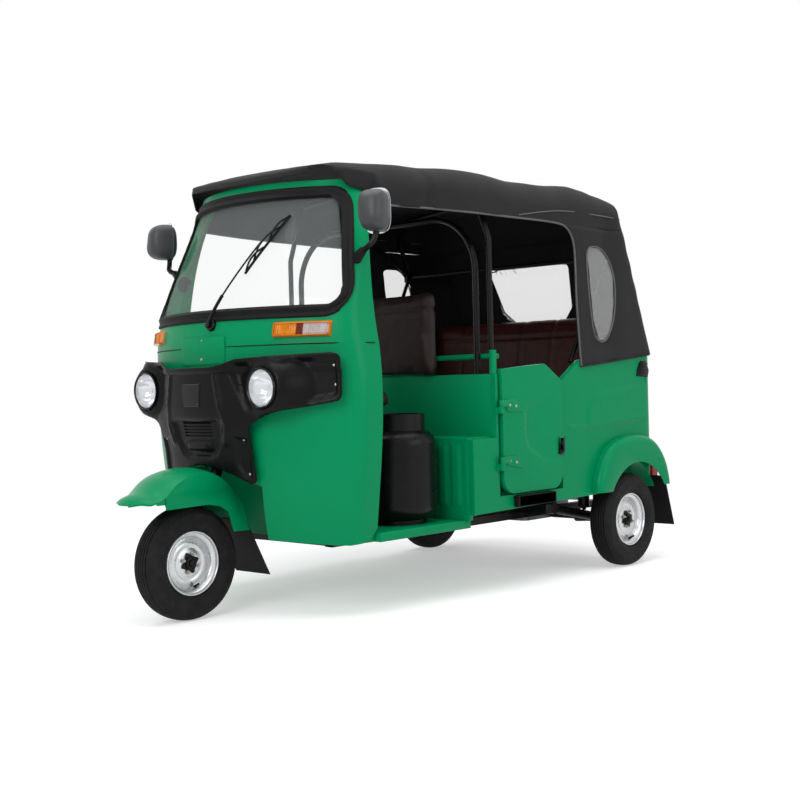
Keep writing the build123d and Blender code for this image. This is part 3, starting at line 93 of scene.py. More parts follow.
class Finish:
    """One material: a Principled shader with its patterns added by name."""

    def __init__(self, name, colour, rough, **sockets):
        self.material = bpy.data.materials.new(name)
        self.material.use_nodes = True
        self.tree = self.material.node_tree
        self.shader = self.tree.nodes["Principled BSDF"]
        self.shader.inputs["Base Color"].default_value = colour
        self.shader.inputs["Roughness"].default_value = rough
        for socket, value in sockets.items():
            self.shader.inputs[socket.replace("_", " ")].default_value = value
        self.colour, self.rough = colour, rough
        self.bump = None

    def node(self, kind, **values):
        made = self.tree.nodes.new(kind)
        for key, value in values.items():
            if key in made.inputs:
                made.inputs[key].default_value = value
            else:
                setattr(made, key, value)
        return made

    def link(self, start, end):
        self.tree.links.new(start, end)

    def coords(self, scale=(1, 1, 1)):
        place = self.node("ShaderNodeTexCoord")
        mapping = self.node("ShaderNodeMapping")
        mapping.inputs["Scale"].default_value = scale
        self.link(place.outputs["Object"], mapping.inputs["Vector"])
        return mapping.outputs["Vector"]

    def noise(self, scale, detail=4, stretch=(1, 1, 1)):
        cloud = self.node("ShaderNodeTexNoise", Scale=scale, Detail=detail)
        self.link(self.coords(stretch), cloud.inputs["Vector"])
        return cloud.outputs["Fac"]

    def ramp(self, source, low, high, start, end):
        spread = self.node("ShaderNodeMapRange")
        for key, value in zip(("From Min", "From Max", "To Min", "To Max"), (low, high, start, end)):
            spread.inputs[key].default_value = value
        self.link(source, spread.inputs["Value"])
        return spread.outputs["Result"]

    def mottle(self, scale, amount, stretch=(1, 1, 1), other=None):
        """Uneven colour: the base drifts towards another tone."""
        dark = tuple(c * (1 - amount) for c in self.colour[:3]) + (1,)
        mix = self.node("ShaderNodeMix", data_type="RGBA")
        mix.inputs["A"].default_value = self.colour
        mix.inputs["B"].default_value = other or dark
        self.link(self.ramp(self.noise(scale, 5, stretch), 0.35, 0.7, 0, 1 if other is None else amount),
                  mix.inputs["Factor"])
        self.link(mix.outputs["Result"], self.shader.inputs["Base Color"])
        return self

    def uneven_gloss(self, scale, spread):
        self.link(self.ramp(self.noise(scale, 6), 0.3, 0.7, self.rough - spread, self.rough + spread),
                  self.shader.inputs["Roughness"])
        return self

    def add_bump(self, height, distance, strength=1.0):
        bump = self.node("ShaderNodeBump", Distance=distance, Strength=strength)
        self.link(height, bump.inputs["Height"])
        if self.bump:
            self.link(self.bump, bump.inputs["Normal"])
        self.bump = bump.outputs["Normal"]
        self.link(self.bump, self.shader.inputs["Normal"])
        return self

    def grain(self, scale, distance, detail=3, stretch=(1, 1, 1)):
        return self.add_bump(self.noise(scale, detail, stretch), distance)

    def weave(self, period, distance):
        """Crossed threads, the same on a face that looks along any axis."""
        total = None
        for axis in "XYZ":
            wave = self.node("ShaderNodeTexWave", Scale=0.314 / period, bands_direction=axis)
            self.link(self.coords(), wave.inputs["Vector"])
            if total is None:
                total = wave.outputs["Fac"]
                continue
            add = self.node("ShaderNodeMath", operation="ADD")
            self.link(total, add.inputs[0])
            self.link(wave.outputs["Fac"], add.inputs[1])
            total = add.outputs["Value"]
        return self.add_bump(total, distance)


def make_finishes():
    """Every finish on the vehicle, by its plain name."""
    made = {}

    def finish(name, colour, rough, **sockets):
        made[name] = Finish(name, colour, rough, **{"Specular_IOR_Level": 0.25, **sockets})
        return made[name]

    finish("green_paint", srgb(0, 139, 88), 0.32, Coat_Weight=0.03, Coat_Roughness=0.05, Specular_IOR_Level=0.07) \
        .mottle(1.4, 0.08).uneven_gloss(9, 0.05).grain(260, 0.00003)
    finish("black_paint", srgb(12, 12, 13), 0.32, Specular_IOR_Level=0.15).mottle(14, 0.3).uneven_gloss(30,
                                                            0.08).grain(420, 0.00006)
    finish("moulded_plastic", srgb(10, 10, 11), 0.34, Specular_IOR_Level=0.12).mottle(6, 0.15).uneven_gloss(22,
                                                            0.07).grain(1500, 0.00007, 2)
    finish("mirror_plastic", srgb(66, 67, 69), 0.38).mottle(8, 0.12).grain(1400, 0.00006, 2)
    finish("gloss_plastic", srgb(12, 12, 13), 0.16).uneven_gloss(12, 0.04)
    finish("black_rubber", srgb(15, 15, 15), 0.62, Specular_IOR_Level=0.15).mottle(25, 0.25).grain(700, 0.00008)
    finish("tyre_rubber", srgb(20, 20, 21), 0.72, Specular_IOR_Level=0.15).mottle(30, 0.3, other=srgb(52, 50,
                                                            48)).grain(900, 0.0001)
    finish("silver_paint", srgb(205, 206, 208), 0.30, Metallic=0.75).mottle(20, 0.12).uneven_gloss(40, 0.06) \
        .grain(500, 0.00004)
    finish("zinc_plate", srgb(176, 172, 160), 0.34, Metallic=1.0).mottle(60, 0.3).uneven_gloss(80, 0.1)
    finish("bright_chrome", srgb(214, 216, 219), 0.09, Metallic=1.0).uneven_gloss(30, 0.03)
    finish("reflector", srgb(225, 227, 230), 0.14, Metallic=1.0).uneven_gloss(30, 0.04)
    finish("canopy_cloth", srgb(30, 30, 31), 0.84, Sheen_Weight=0.03, Sheen_Roughness=0.5) \
        .mottle(5, 0.22).grain(7, 0.0022, 2).grain(55, 0.0004).weave(0.0014, 0.00016)
    finish("piping", srgb(96, 96, 98), 0.6).mottle(80, 0.2).weave(0.0008, 0.0001)
    finish("window_film", (0.93, 0.94, 0.94, 1), 0.12, Alpha=0.16).uneven_gloss(6, 0.06).grain(14, 0.0008)
    finish("maroon_vinyl", srgb(70, 28, 27), 0.46).mottle(9, 0.35).uneven_gloss(30, 0.08) \
        .grain(520, 0.00022, 2).grain(30, 0.0006)
    finish("brown_vinyl", srgb(38, 25, 24), 0.48).mottle(9, 0.3).uneven_gloss(30, 0.08) \
        .grain(520, 0.00022, 2).grain(30, 0.0006)
    finish("engine_metal", srgb(120, 121, 122), 0.5, Metallic=0.8).mottle(12, 0.35).grain(150, 0.0003)
    finish("amber_lens", srgb(240, 132, 8), 0.14, Transmission_Weight=0.25).mottle(30, 0.15).grain(8, 0.0002)
    finish("orange_lens", srgb(252, 150, 14), 0.12, Transmission_Weight=0.2).mottle(45, 0.35)
    finish("dark_lens", srgb(112, 34, 10), 0.14, Transmission_Weight=0.1).mottle(60, 0.3)
    finish("clear_lens", srgb(214, 198, 198), 0.16, Transmission_Weight=0.3).mottle(40, 0.2)
    finish("red_lens", srgb(170, 14, 12), 0.13, Transmission_Weight=0.2).mottle(30, 0.2)
    finish("plate_white", srgb(226, 226, 222), 0.4).mottle(15, 0.08).grain(300, 0.00003)
    finish("mirror_glass", srgb(226, 230, 233), 0.03, Metallic=1.0).uneven_gloss(20, 0.01)
    for name, tint, alpha in (("windscreen_glass", (0.55, 0.60, 0.60, 1), 0.09), ("lamp_glass", (0.95, 0.97, 1,
                                                            1), 0.22)):
        finish(name, tint, 0.03, Alpha=alpha, IOR=1.5, Coat_Weight=1.0, Coat_Roughness=0.02).uneven_gloss(3, 0.01)
    return made


finishes = make_finishes()


# ---------------------------------------------------------------- making pieces
def to_piece(bm, name, finish, body, replaces=(), flat_above=32, close=True):
    """Turn a bmesh into a finished piece that rides on a body."""
    if close:
        bmesh.ops.remove_doubles(bm, verts=bm.verts, dist=0.00001)
        bmesh.ops.recalc_face_normals(bm, faces=bm.faces)
    mesh = bpy.data.meshes.new(name)
    bm.to_mesh(mesh)
    bm.free()
    mesh.shade_smooth()
    mesh.set_sharp_from_angle(angle=math.radians(flat_above))
    piece = bpy.data.objects.new(name, mesh)
    bpy.context.scene.collection.objects.link(piece)
    for name in [finish] if isinstance(finish, str) else finish:
        mesh.materials.append(finishes[name].material)
    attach(piece, body)
    if replaces:
        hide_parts(*([replaces] if isinstance(replaces, str) else replaces))
    return piece


def node_copy(name, flatten=0.4):
    """A CAD node's mesh as a bmesh, its loose triangles merged into clean faces."""
    bm = bmesh.new()
    bm.from_mesh(nodes[name].data)
    bmesh.ops.remove_doubles(bm, verts=bm.verts, dist=0.00002)
    bmesh.ops.dissolve_limit(bm, angle_limit=math.radians(flatten), verts=bm.verts, edges=bm.edges)
    return bm


def soften_edges(bm, width, least=28, segments=2):
    """Round the sharp edges of a pressing."""
    sharp = [e for e in bm.edges if len(e.link_faces) == 2 and e.calc_face_angle(0) > math.radians(least)]
    bmesh.ops.bevel(bm, geom=sharp, offset=width, segments=segments, affect="EDGES", profile=0.5,
                    material=-1, clamp_overlap=True)


def grid_cuts(bm, faces, axis, places):
    """Cut faces with planes square to an axis."""
    for place in places:
        geom = list({*faces, *(e for f in faces for e in f.edges), *(v for f in faces for v in f.verts)})
        point, normal = Vector(), Vector()
        point[axis], normal[axis] = place, 1
        cut = bmesh.ops.bisect_plane(bm, geom=geom, plane_co=point, plane_no=normal, dist=0.00001)
        faces = [f for f in {*cut["geom"], *faces} if isinstance(f, bmesh.types.BMFace) and f.is_valid]
    return faces


def spaced(low, high, step):
    """Evenly spaced places strictly between two ends."""
    count = max(1, round((high - low) / step))
    return [low + (high - low) * i / count for i in range(1, count)]


def refine(bm, axis, level, step, extra=((), ()), side=None):
    """Cut the flat face of a pressing that lies at a level into small cells, and return its vertices."""
    across = [a for a in range(3) if a != axis]
    faces = [f for f in bm.faces if all(abs(v.co[axis] - level) < 0.0002 for v in f.verts)]
    bmesh.ops.triangulate(bm, faces=faces)
    faces = [f for f in bm.faces if all(abs(v.co[axis] - level) < 0.0002 for v in f.verts)]
    for index, a in enumerate(across):
        values = [v.co[a] for f in faces for v in f.verts]
        faces = grid_cuts(bm, faces, a, spaced(min(values), max(values), step) + list(extra[index]))
    return {v for f in faces for v in f.verts}


def smooth_step(low, high, value):
    share = min(max((value - low) / (high - low), 0), 1)
    return share * share * (3 - 2 * share)


def segment_distance(point, start, end):
    """Distance from a point to a straight run, in a plane."""
    run = (end[0] - start[0], end[1] - start[1])
    length = run[0] ** 2 + run[1] ** 2
    share = ((point[0] - start[0]) * run[0] + (point[1] - start[1]) * run[1]) / length if length else 0
    share = min(max(share, 0), 1)
    return math.hypot(point[0] - start[0] - share * run[0], point[1] - start[1] - share * run[1])


def inside(point, outline):
    """True where a point lies inside a closed outline."""
    found = False
    for start, end in zip(outline, outline[1:] + outline[:1]):
        if (start[1] > point[1]) != (end[1] > point[1]):
            if point[0] < (end[0] - start[0]) * (point[1] - start[1]) / (end[1] - start[1]) + start[0]:
                found = not found
    return found


def edge_depth(point, outline):
    """How far inside a closed outline a point lies; less than nothing outside."""
    nearest = min(segment_distance(point, a, b) for a, b in zip(outline, outline[1:] + outline[:1]))
    return nearest if inside(point, outline) else -nearest


def swage(point, path, width, height):
    """Height of a rounded rib that follows a path."""
    nearest = min(segment_distance(point, a, b) for a, b in zip(path, path[1:]))
    return height * (1 - smooth_step(0, width, nearest))


def turned(profile, centre, steps=96, axis="Y"):
    """Closed profile (radius, along) turned about an axle."""
    bm = bmesh.new()
    along = Vector((0, 1, 0)) if axis == "Y" else Vector(axis).normalized()
    out = Vector((0, 0, 1)) if abs(along.z) < 0.9 else Vector((1, 0, 0))
    out = (out - along * out.dot(along)).normalized()
    ring = [bm.verts.new(centre + out * r + along * a) for r, a in profile]
    edges = [bm.edges.new(pair) for pair in zip(ring, ring[1:] + ring[:1])]
    bmesh.ops.spin(bm, geom=ring + edges, cent=centre, axis=along, angle=math.tau, steps=steps, use_merge=True)
    bmesh.ops.remove_doubles(bm, verts=bm.verts, dist=0.00001)
    bmesh.ops.recalc_face_normals(bm, faces=bm.faces)
    return bm


def add_drum(bm, start, end, radius, segments=24, low_radius=None, bevel=0.0):
    """Round bar from one point to another, added to a bmesh."""
    start, end = Vector(start), Vector(end)
    turn = (end - start).to_track_quat("Z", "Y").to_matrix().to_4x4()
    made = bmesh.ops.create_cone(bm, cap_ends=True, segments=segments,
                                 radius1=radius if low_radius is None else low_radius, radius2=radius,
                                 depth=(end - start).length, matrix=Matrix.Translation((start + end) / 2) @ turn)
    if bevel:
        rims = {e for v in made["verts"] for e in v.link_edges if e.calc_face_angle(0) > 1}
        bmesh.ops.bevel(bm, geom=list(rims), offset=bevel, segments=2, affect="EDGES", profile=0.5, material=-1)
    return made["verts"]


def add_block(bm, low, high, bevel=0.0, segments=2):
    """Box between two corners with softened edges, added to a bmesh."""
    low, high = Vector(low), Vector(high)
    made = bmesh.ops.create_cube(bm, size=1, matrix=Matrix.Translation((low + high) / 2)
                                 @ Matrix.Diagonal((*(high - low), 1)))
    if bevel:
        edges = {e for v in made["verts"] for e in v.link_edges}
        bmesh.ops.bevel(bm, geom=list(edges), offset=bevel, segments=segments, affect="EDGES", profile=0.5,
                        material=-1)


def wire(name, points, radius, finish, body, cyclic=False, order=3, resolution=6, replaces=()):
    """Round bar, beading or seam that follows points in one smooth curve."""
    curve = bpy.data.curves.new(name, "CURVE")
    curve.dimensions = "3D"
    curve.bevel_depth = radius
    curve.bevel_resolution = 3
    curve.resolution_u = resolution
    curve.use_fill_caps = True
    spline = curve.splines.new("NURBS")
    spline.points.add(len(points) - 1)
    for knot, point in zip(spline.points, points):
        knot.co = (*point, 1)
    spline.use_cyclic_u = cyclic
    spline.order_u = order
    spline.use_endpoint_u = not cyclic
    made = bpy.data.objects.new(name + "_path", curve)
    bpy.context.scene.collection.objects.link(made)
    mesh = bpy.data.meshes.new_from_object(made)
    bpy.data.objects.remove(made)
    bm = bmesh.new()
    bm.from_mesh(mesh)
    bpy.data.meshes.remove(mesh)
    return to_piece(bm, name, finish, body, replaces)


# ---------------------------------------------------------------- pressed body panels
def press(node, body, bevel=0.0018, finish="green_paint", reliefs=(), flat_above=32, segments=2):
    """Finished pressing in place of a node: softened edges, and reliefs (axis, level, step, height(u, v))."""
    bm = node_copy(node)
    if bevel:
        soften_edges(bm, bevel, segments=segments)
    for axis, level, step, height in reliefs:
        across = [a for a in range(3) if a != axis]
        for vert in refine(bm, axis, level, step):
            vert.co[axis] += height((vert.co[across[0]], vert.co[across[1]]))
    return to_piece(bm, node + "_pressing", finish, body, node, flat_above)


DOOR_DISH = [(-0.205, 0.732), (-0.190, 0.708), (-0.190, 0.597), (-0.214, 0.560), (-0.320, 0.506), (-0.420, 0.500),
             (-0.436, 0.600), (-0.436, 0.770)]


def door_relief(point):
    """Dish behind the door's crease that runs out towards the latch."""
    fade = smooth_step(-0.43, -0.26, point[0])
    return -0.0045 * smooth_step(-0.006, 0.010, edge_depth(point, DOOR_DISH)) * fade


QUARTER_LOWER = [(-0.508, 0.632), (-0.589, 0.629), (-1.200, 0.659)]
QUARTER_BAND = [(-0.649, 0.640), (-0.655, 0.722), (-0.690, 0.756), (-0.736, 0.768), (-1.300, 0.829), (-1.300, 0.664)]


def quarter_relief(point):
    """Raised band between the rear quarter's two creases."""
    band = 0.004 * smooth_step(-0.008, 0.004, edge_depth(point, QUARTER_BAND))
    return band + swage(point, QUARTER_LOWER, 0.010, 0.0065)


for side, name in ((1, "left"), (-1, "right")):
    press(f"door_{name}", f"passenger_door_{name}", bevel=0.003,
          reliefs=[(1, side * DOOR_FACE_Y, 0.008, lambda p, s=side: s * door_relief(p))])
    press(f"body_side_{name}", BODY, bevel=0.0015,
          reliefs=[(1, side * SIDE_Y, 0.010, lambda p, s=side: s * quarter_relief(p))])


def bulkhead_riser(point):
    """Upright ribs of the lower bulkhead."""
    across = abs(point[0])
    if across > 0.56 or not 0.345 < point[1] < 0.602:
        return 0
    phase = (across % 0.068) / 0.068
    ends = smooth_step(0.345, 0.370, point[1]) * (1 - smooth_step(0.580, 0.602, point[1]))
    return 0.006 * ends * smooth_step(0.25, 0.5, 1 - abs(2 * phase - 1))


press("bulkhead", BODY, bevel=0.002, reliefs=[
    (0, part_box("bulkhead")[1].x, 0.008, bulkhead_riser)])
for node in ("front_cowl", "windshield_frame", "wheel_housing"):
    press(node, BODY, bevel=0)
for node, bevel in (("floor_pan", 0.002), ("rear_panel", 0.0015), ("rear_fenders", 0.0012), ("cover_plate", 0.001),
                    ("rear_seat_base", 0.002), ("handrail", 0)):
    press(node, BODY, bevel=bevel)
press("engine_door", "engine_hatch", bevel=0.003)
# the mudguard's front lower edge is trimmed level
MUDGUARD_TRIM = 0.435
bm = node_copy("front_mudguard")
grid_cuts(bm, bm.faces[:], 0, spaced(FRONT_AXLE.x + 0.160, FRONT_AXLE.x + 0.260, 0.006))
ahead = {v for v in bm.verts if v.co.x > FRONT_AXLE.x + 0.170}
reach = [v for v in bm.verts if v in ahead] + [g for g in bm.edges[:] + bm.faces[:] if all(v in ahead for v in g.verts)]
bmesh.ops.bisect_plane(bm, geom=reach, plane_co=(0, 0, MUDGUARD_TRIM), plane_no=(0, 0, -1), clear_outer=True)
bmesh.ops.holes_fill(bm, edges=[e for e in bm.edges if e.is_boundary])
to_piece(bm, "front_mudguard_pressing", "green_paint", STEERING, "front_mudguard", 32)


# ---------------------------------------------------------------- canopy
SEAM_Z = 1.490
CLOTH = 0.004
# behind the front axle, half width, crown height, fall from crown to edge, shoulder radius
ROOF_SECTIONS = [(-0.235, 0.440, 1.602, 0.015, 0.100), (-0.300, 0.450, 1.632, 0.017, 0.110),
                 (-0.360, 0.462, 1.653, 0.019, 0.118), (-0.450, 0.484, 1.671, 0.022, 0.120),
                 (-0.700, 0.556, 1.683, 0.032, 0.105), (-0.955, 0.592, 1.698, 0.040, 0.117)]
# share of the way back from the front edge, and share of the valance's drop
VALANCE = [(0, 1), (0.001, 0.80), (0.002, 0.58), (0.004, 0.36), (0.010, 0.17), (0.022, 0.05), (0.045, 0)]
ROOF_ORIGIN_Z = 1.400
FRONT_EDGE_RADIUS = 0.624
# behind the front axle, how far the cloth hangs between the bows
SAG = [(-0.25, 0), (-0.62, 0.002), (-0.84, 0.006), (-1.02, 0), (-1.12, 0.001), (-1.26, 0.010), (-1.40, 0.004),
       (-1.55, 0.007), (-1.69, 0), (-1.78, 0.007), (-1.87, 0.020), (-1.955, 0.008), (-2.02, -0.002), (-2.08, 0.004),
       (-2.20, 0.009), (-2.40, 0.004)]


def between(table, place):
    """Values of a table at a place on its falling first column, eased from row to row."""
    if place >= table[0][0]:
        return table[0][1:]
    for upper, lower in zip(table, table[1:]):
        if place >= lower[0]:
            share = smooth_step(upper[0], lower[0], place) * 0.5 + 0.5 * (place - upper[0]) / (lower[0] - upper[0])
            return tuple(a + (b - a) * share for a, b in zip(upper[1:], lower[1:]))
    return table[-1][1:]


def roof_height(behind, across):
    """Height of the roof's front part, or nothing past its side."""
    half, crown, fall, shoulder = between(ROOF_SECTIONS, behind)
    across = abs(across)
    if across >= half:
        return None
    over = max(0, across - half + shoulder) / shoulder
    return crown - fall * (across / half) ** 2 - shoulder * (1 - math.sqrt(1 - over * over))


def front_roof_point(behind, lean):
    """Where a ray that leans from upright meets the roof's front part."""
    half = between(ROOF_SECTIONS, behind)[0]
    low, high = 0.0, 0.9
    for _ in range(30):
        reach = (low + high) / 2
        across, height = reach * math.sin(lean), ROOF_ORIGIN_Z + reach * math.cos(lean)
        roof = roof_height(behind, across)
        if roof is None or height > roof:
            high = reach
        else:
            low = reach
    return Vector((FRONT_AXLE.x + behind, min(abs(low * math.sin(lean)), half) * (1 if lean > 0 else -1),
                   ROOF_ORIGIN_Z + low * math.cos(lean)))


def cloth_sag(point):
    """How far inwards the stretched cloth hangs at a point."""
    drop = between(SAG, point.x - FRONT_AXLE.x)[0]
    side = smooth_step(0.42, 0.60, abs(point.y))
    drop *= 1 - 0.55 * side
    rear = smooth_step(-0.86, -1.00, point.x)
    fold = noise.noise(Vector((point.x * 3.1, point.y * 2.3, point.z * 1.1 + 4.0)))
    fine = noise.noise(Vector((point.x * 9.0, point.y * 4.0, point.z * 3.0)))
    pull = math.sin((point.z * 1.0 + point.x * 0.55) * 46) * 0.0012 * side * smooth_step(1.0, 1.3, point.z)
    return drop * (1 - 0.5 * rear) + 0.0035 * fold + 0.0012 * fine + pull


def outwards(point):
    """Direction away from the canopy's inside."""
    spine = Vector((min(max(point.x, -0.72), 0.55), 0, 1.30))
    away = point - spine
    return Vector((away.x, away.y * 0.8, away.z if point.z > 1.40 else 0)).normalized()


def canopy_target():
    """The canopy's solids as one surface to cast rays on."""
    bm = bmesh.new()
    for name in ("canopy_roof", "canopy_sides", "canopy_rear"):
        bm.from_mesh(nodes[name].data)
    tree = BVHTree.FromBMesh(bm)
    bm.free()
    return tree


def outermost(tree, origin, way):
    """Last place where a ray from inside leaves the canopy."""
    hit, start = None, origin
    for _ in range(6):
        found = tree.ray_cast(start, way)[0]
        if found is None:
            return hit
        hit = found
        start = found + way * 0.0004
    return hit


def build_roof():
    """Roof cloth: one sheet from the front edge over the bows and down to the seam at the sides and rear."""
    target = canopy_target()
    leans = [math.radians(83.6) * math.sin(math.radians(90) * i / 46) ** 0.92 * (1 if i else 0) for i in range(47)]
    leans = [-a for a in reversed(leans[1:])] + leans
    ahead = len(VALANCE) - 1 + 16
    straight = [-0.75 - 0.020 * i for i in range(1, 55)]
    swings = [math.radians(1.9 * i) for i in range(1, 54)]
    bm = bmesh.new()
    rows = ahead + 1 + len(straight) + len(swings)
    bmesh.ops.create_grid(bm, x_segments=rows - 1, y_segments=len(leans) - 1, size=1)
    for vert in bm.verts:
        row = round((vert.co.x + 1) / 2 * (rows - 1))
        lean = leans[round((vert.co.y + 1) / 2 * (len(leans) - 1))]
        if row <= ahead:
            across = min(abs(0.2 * math.tan(lean)), 0.44)
            edge = -0.897 + math.sqrt(FRONT_EDGE_RADIUS ** 2 - across ** 2) - 5.5 * max(0, across - 0.32) ** 2
            back, drop = VALANCE[row] if row < len(VALANCE) else (
                VALANCE[-1][0] + (1 - VALANCE[-1][0]) * (row - len(VALANCE) + 1) / 16, 0)
            vert.co = front_roof_point(edge + (-0.75 - edge) * back, lean)
            vert.co.z -= drop * (0.024 + 0.050 * smooth_step(0.30, 0.44, across)) * smooth_step(1.50, 1.60, vert.co.z)
            continue
        if row <= ahead + len(straight):
            origin, swing = Vector((FRONT_AXLE.x + straight[row - ahead - 1], 0, ROOF_ORIGIN_Z)), 0
        else:
            origin, swing = Vector((FRONT_AXLE.x + straight[-1], 0,
                                    ROOF_ORIGIN_Z)), swings[row - ahead - len(straight) - 1]
        way = Vector((-math.sin(swing) * math.cos(lean), math.sin(lean), math.cos(swing) * math.cos(lean)))
        vert.co = outermost(target, origin, way) or origin + way * 0.5
    for vert in bm.verts:
        vert.co -= outwards(vert.co) * cloth_sag(vert.co)
    lost = [v for v in bm.verts if v.co.z < SEAM_Z - 0.16]
    bmesh.ops.delete(bm, geom=lost, context="VERTS")
    for point, normal in (((0, 0, SEAM_Z), (0, 0, -1)),
                          ((FRONT_AXLE.x - 0.430, 0, 1.572), Vector((0.082, 0, -0.055)).normalized())):
        reach = bm.verts[:] + bm.edges[:] + bm.faces[:] if normal == (0, 0, -1) else [
            g for g in bm.verts[:] + bm.edges[:] + bm.faces[:]
            if all(abs(v.co.y) > 0.36 and v.co.x > 0.5 for v in ([g] if isinstance(g,
                                                            bmesh.types.BMVert) else g.verts))]
        bmesh.ops.bisect_plane(bm, geom=reach, plane_co=point, plane_no=normal, clear_outer=True)
    bmesh.ops.recalc_face_normals(bm, faces=bm.faces)
    if sum(f.normal.z for f in bm.faces) < 0:
        bmesh.ops.reverse_faces(bm, faces=bm.faces)
    return bm


def sheet_piece(bm, name, node, wall=CLOTH):
    piece = to_piece(bm, name, "canopy_cloth", BODY, node, flat_above=60, close=False)
    skin = piece.modifiers.new("cloth", "SOLIDIFY")
    skin.thickness, skin.offset = wall, -1
    return piece


def draped(node, step=0.020):
    """A canopy panel cut into small cells and hung between the bows."""
    bm = node_copy(node, 0.05)
    bmesh.ops.triangulate(bm, faces=bm.faces[:])
    low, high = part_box(node)
    for axis in range(3):
        grid_cuts(bm, bm.faces[:], axis, spaced(low[axis], high[axis], step))
    for vert in bm.verts:
        lower = 1 - smooth_step(1.02, 0.90, vert.co.z)
        vert.co -= outwards(vert.co) * cloth_sag(vert.co) * (0.25 + 0.75 * lower)
    return bm


roof = build_roof()
canopy_roof = sheet_piece(roof, "canopy_roof_cloth", "canopy_roof")

for side, name in ((1, "left"), (-1, "right")):
    bm = draped("canopy_sides")
    bmesh.ops.delete(bm, geom=[v for v in bm.verts if side * v.co.y < 0], context="VERTS")
    to_piece(bm, f"canopy_side_cloth_{name}", "canopy_cloth", BODY,
                                 "canopy_sides", 60)
canopy_rear = to_piece(draped("canopy_rear"), "canopy_rear_cloth", "canopy_cloth", BODY,
                       "canopy_rear", 60)

# ---------------------------------------------------------------- wheels
TYRE_RADIUS = 0.207
TREAD_HALF = 0.0385


def tyre_profile():
    """Cross-section (radius, across) with circumferential ribs and a lettering-free sidewall."""
    side = [(0.1172, 0.0370), (0.1215, 0.0395), (0.1240, 0.0440), (0.1300, 0.0485), (0.1400, 0.0512),
            (0.1470, 0.0522), (0.1480, 0.0530), (0.1500, 0.0530), (0.1510, 0.0524), (0.1650, 0.0530),
            (0.1780, 0.0520), (0.1790, 0.0526), (0.1805, 0.0525), (0.1815, 0.0514), (0.1900, 0.0480),
            (0.1965, 0.0425), (0.1990, 0.0400)]
    tread = []
    for groove, half in ((0.0300, 0.0022), (0.0180, 0.0022), (0.0060, 0.0022)):
        crown = TYRE_RADIUS - 0.0062 * ((groove + half) / TREAD_HALF) ** 2.4
        floor = TYRE_RADIUS - 0.0062 * (groove / TREAD_HALF) ** 2.4 - 0.0055
        after = TYRE_RADIUS - 0.0062 * ((groove - half) / TREAD_HALF) ** 2.4
        tread += [(crown, groove + half), (floor, groove + half * 0.6), (floor, groove - half * 0.6),
                  (after, groove - half)]
    half_profile = side + tread
    return half_profile + [(r, -a) for r, a in reversed(half_profile)]


RIM = [(0.1168, 0.0400), (0.1150, 0.0418), (0.1120, 0.0416), (0.1105, 0.0395), (0.1095, 0.0310), (0.1000, 0.0280),
       (0.0950, 0.0230), (0.0930, 0.0120), (0.0900, 0.0070), (0.0850, 0.0080), (0.0790, 0.0130), (0.0730, 0.0165),
       (0.0660, 0.0170), (0.0610, 0.0150), (0.0560, 0.0145), (0.0500, 0.0165), (0.0440, 0.0190), (0.0300, 0.0190),
       (0.0300, 0.0150), (0.0600, 0.0100), (0.0800, 0.0050), (0.0905, 0.0020), (0.0900, -0.0200), (0.1000, -0.0300),
       (0.1100, -0.0320), (0.1110, -0.0400), (0.1150, -0.0418), (0.1168, -0.0400), (0.1168, -0.0300),
       (0.1040, -0.0260), (0.0970, 0.0000), (0.1040, 0.0260), (0.1168, 0.0300)]
BRAKE_DRUM = [(0.0300, -0.0455), (0.0700, -0.0455), (0.0780, -0.0440), (0.0820, -0.0400), (0.0820, -0.0330),
              (0.0835, -0.0320), (0.0835, -0.0260), (0.0820, -0.0250), (0.0820, 0.0000), (0.0600,
                                                            0.0080), (0.0300, 0.0080)]


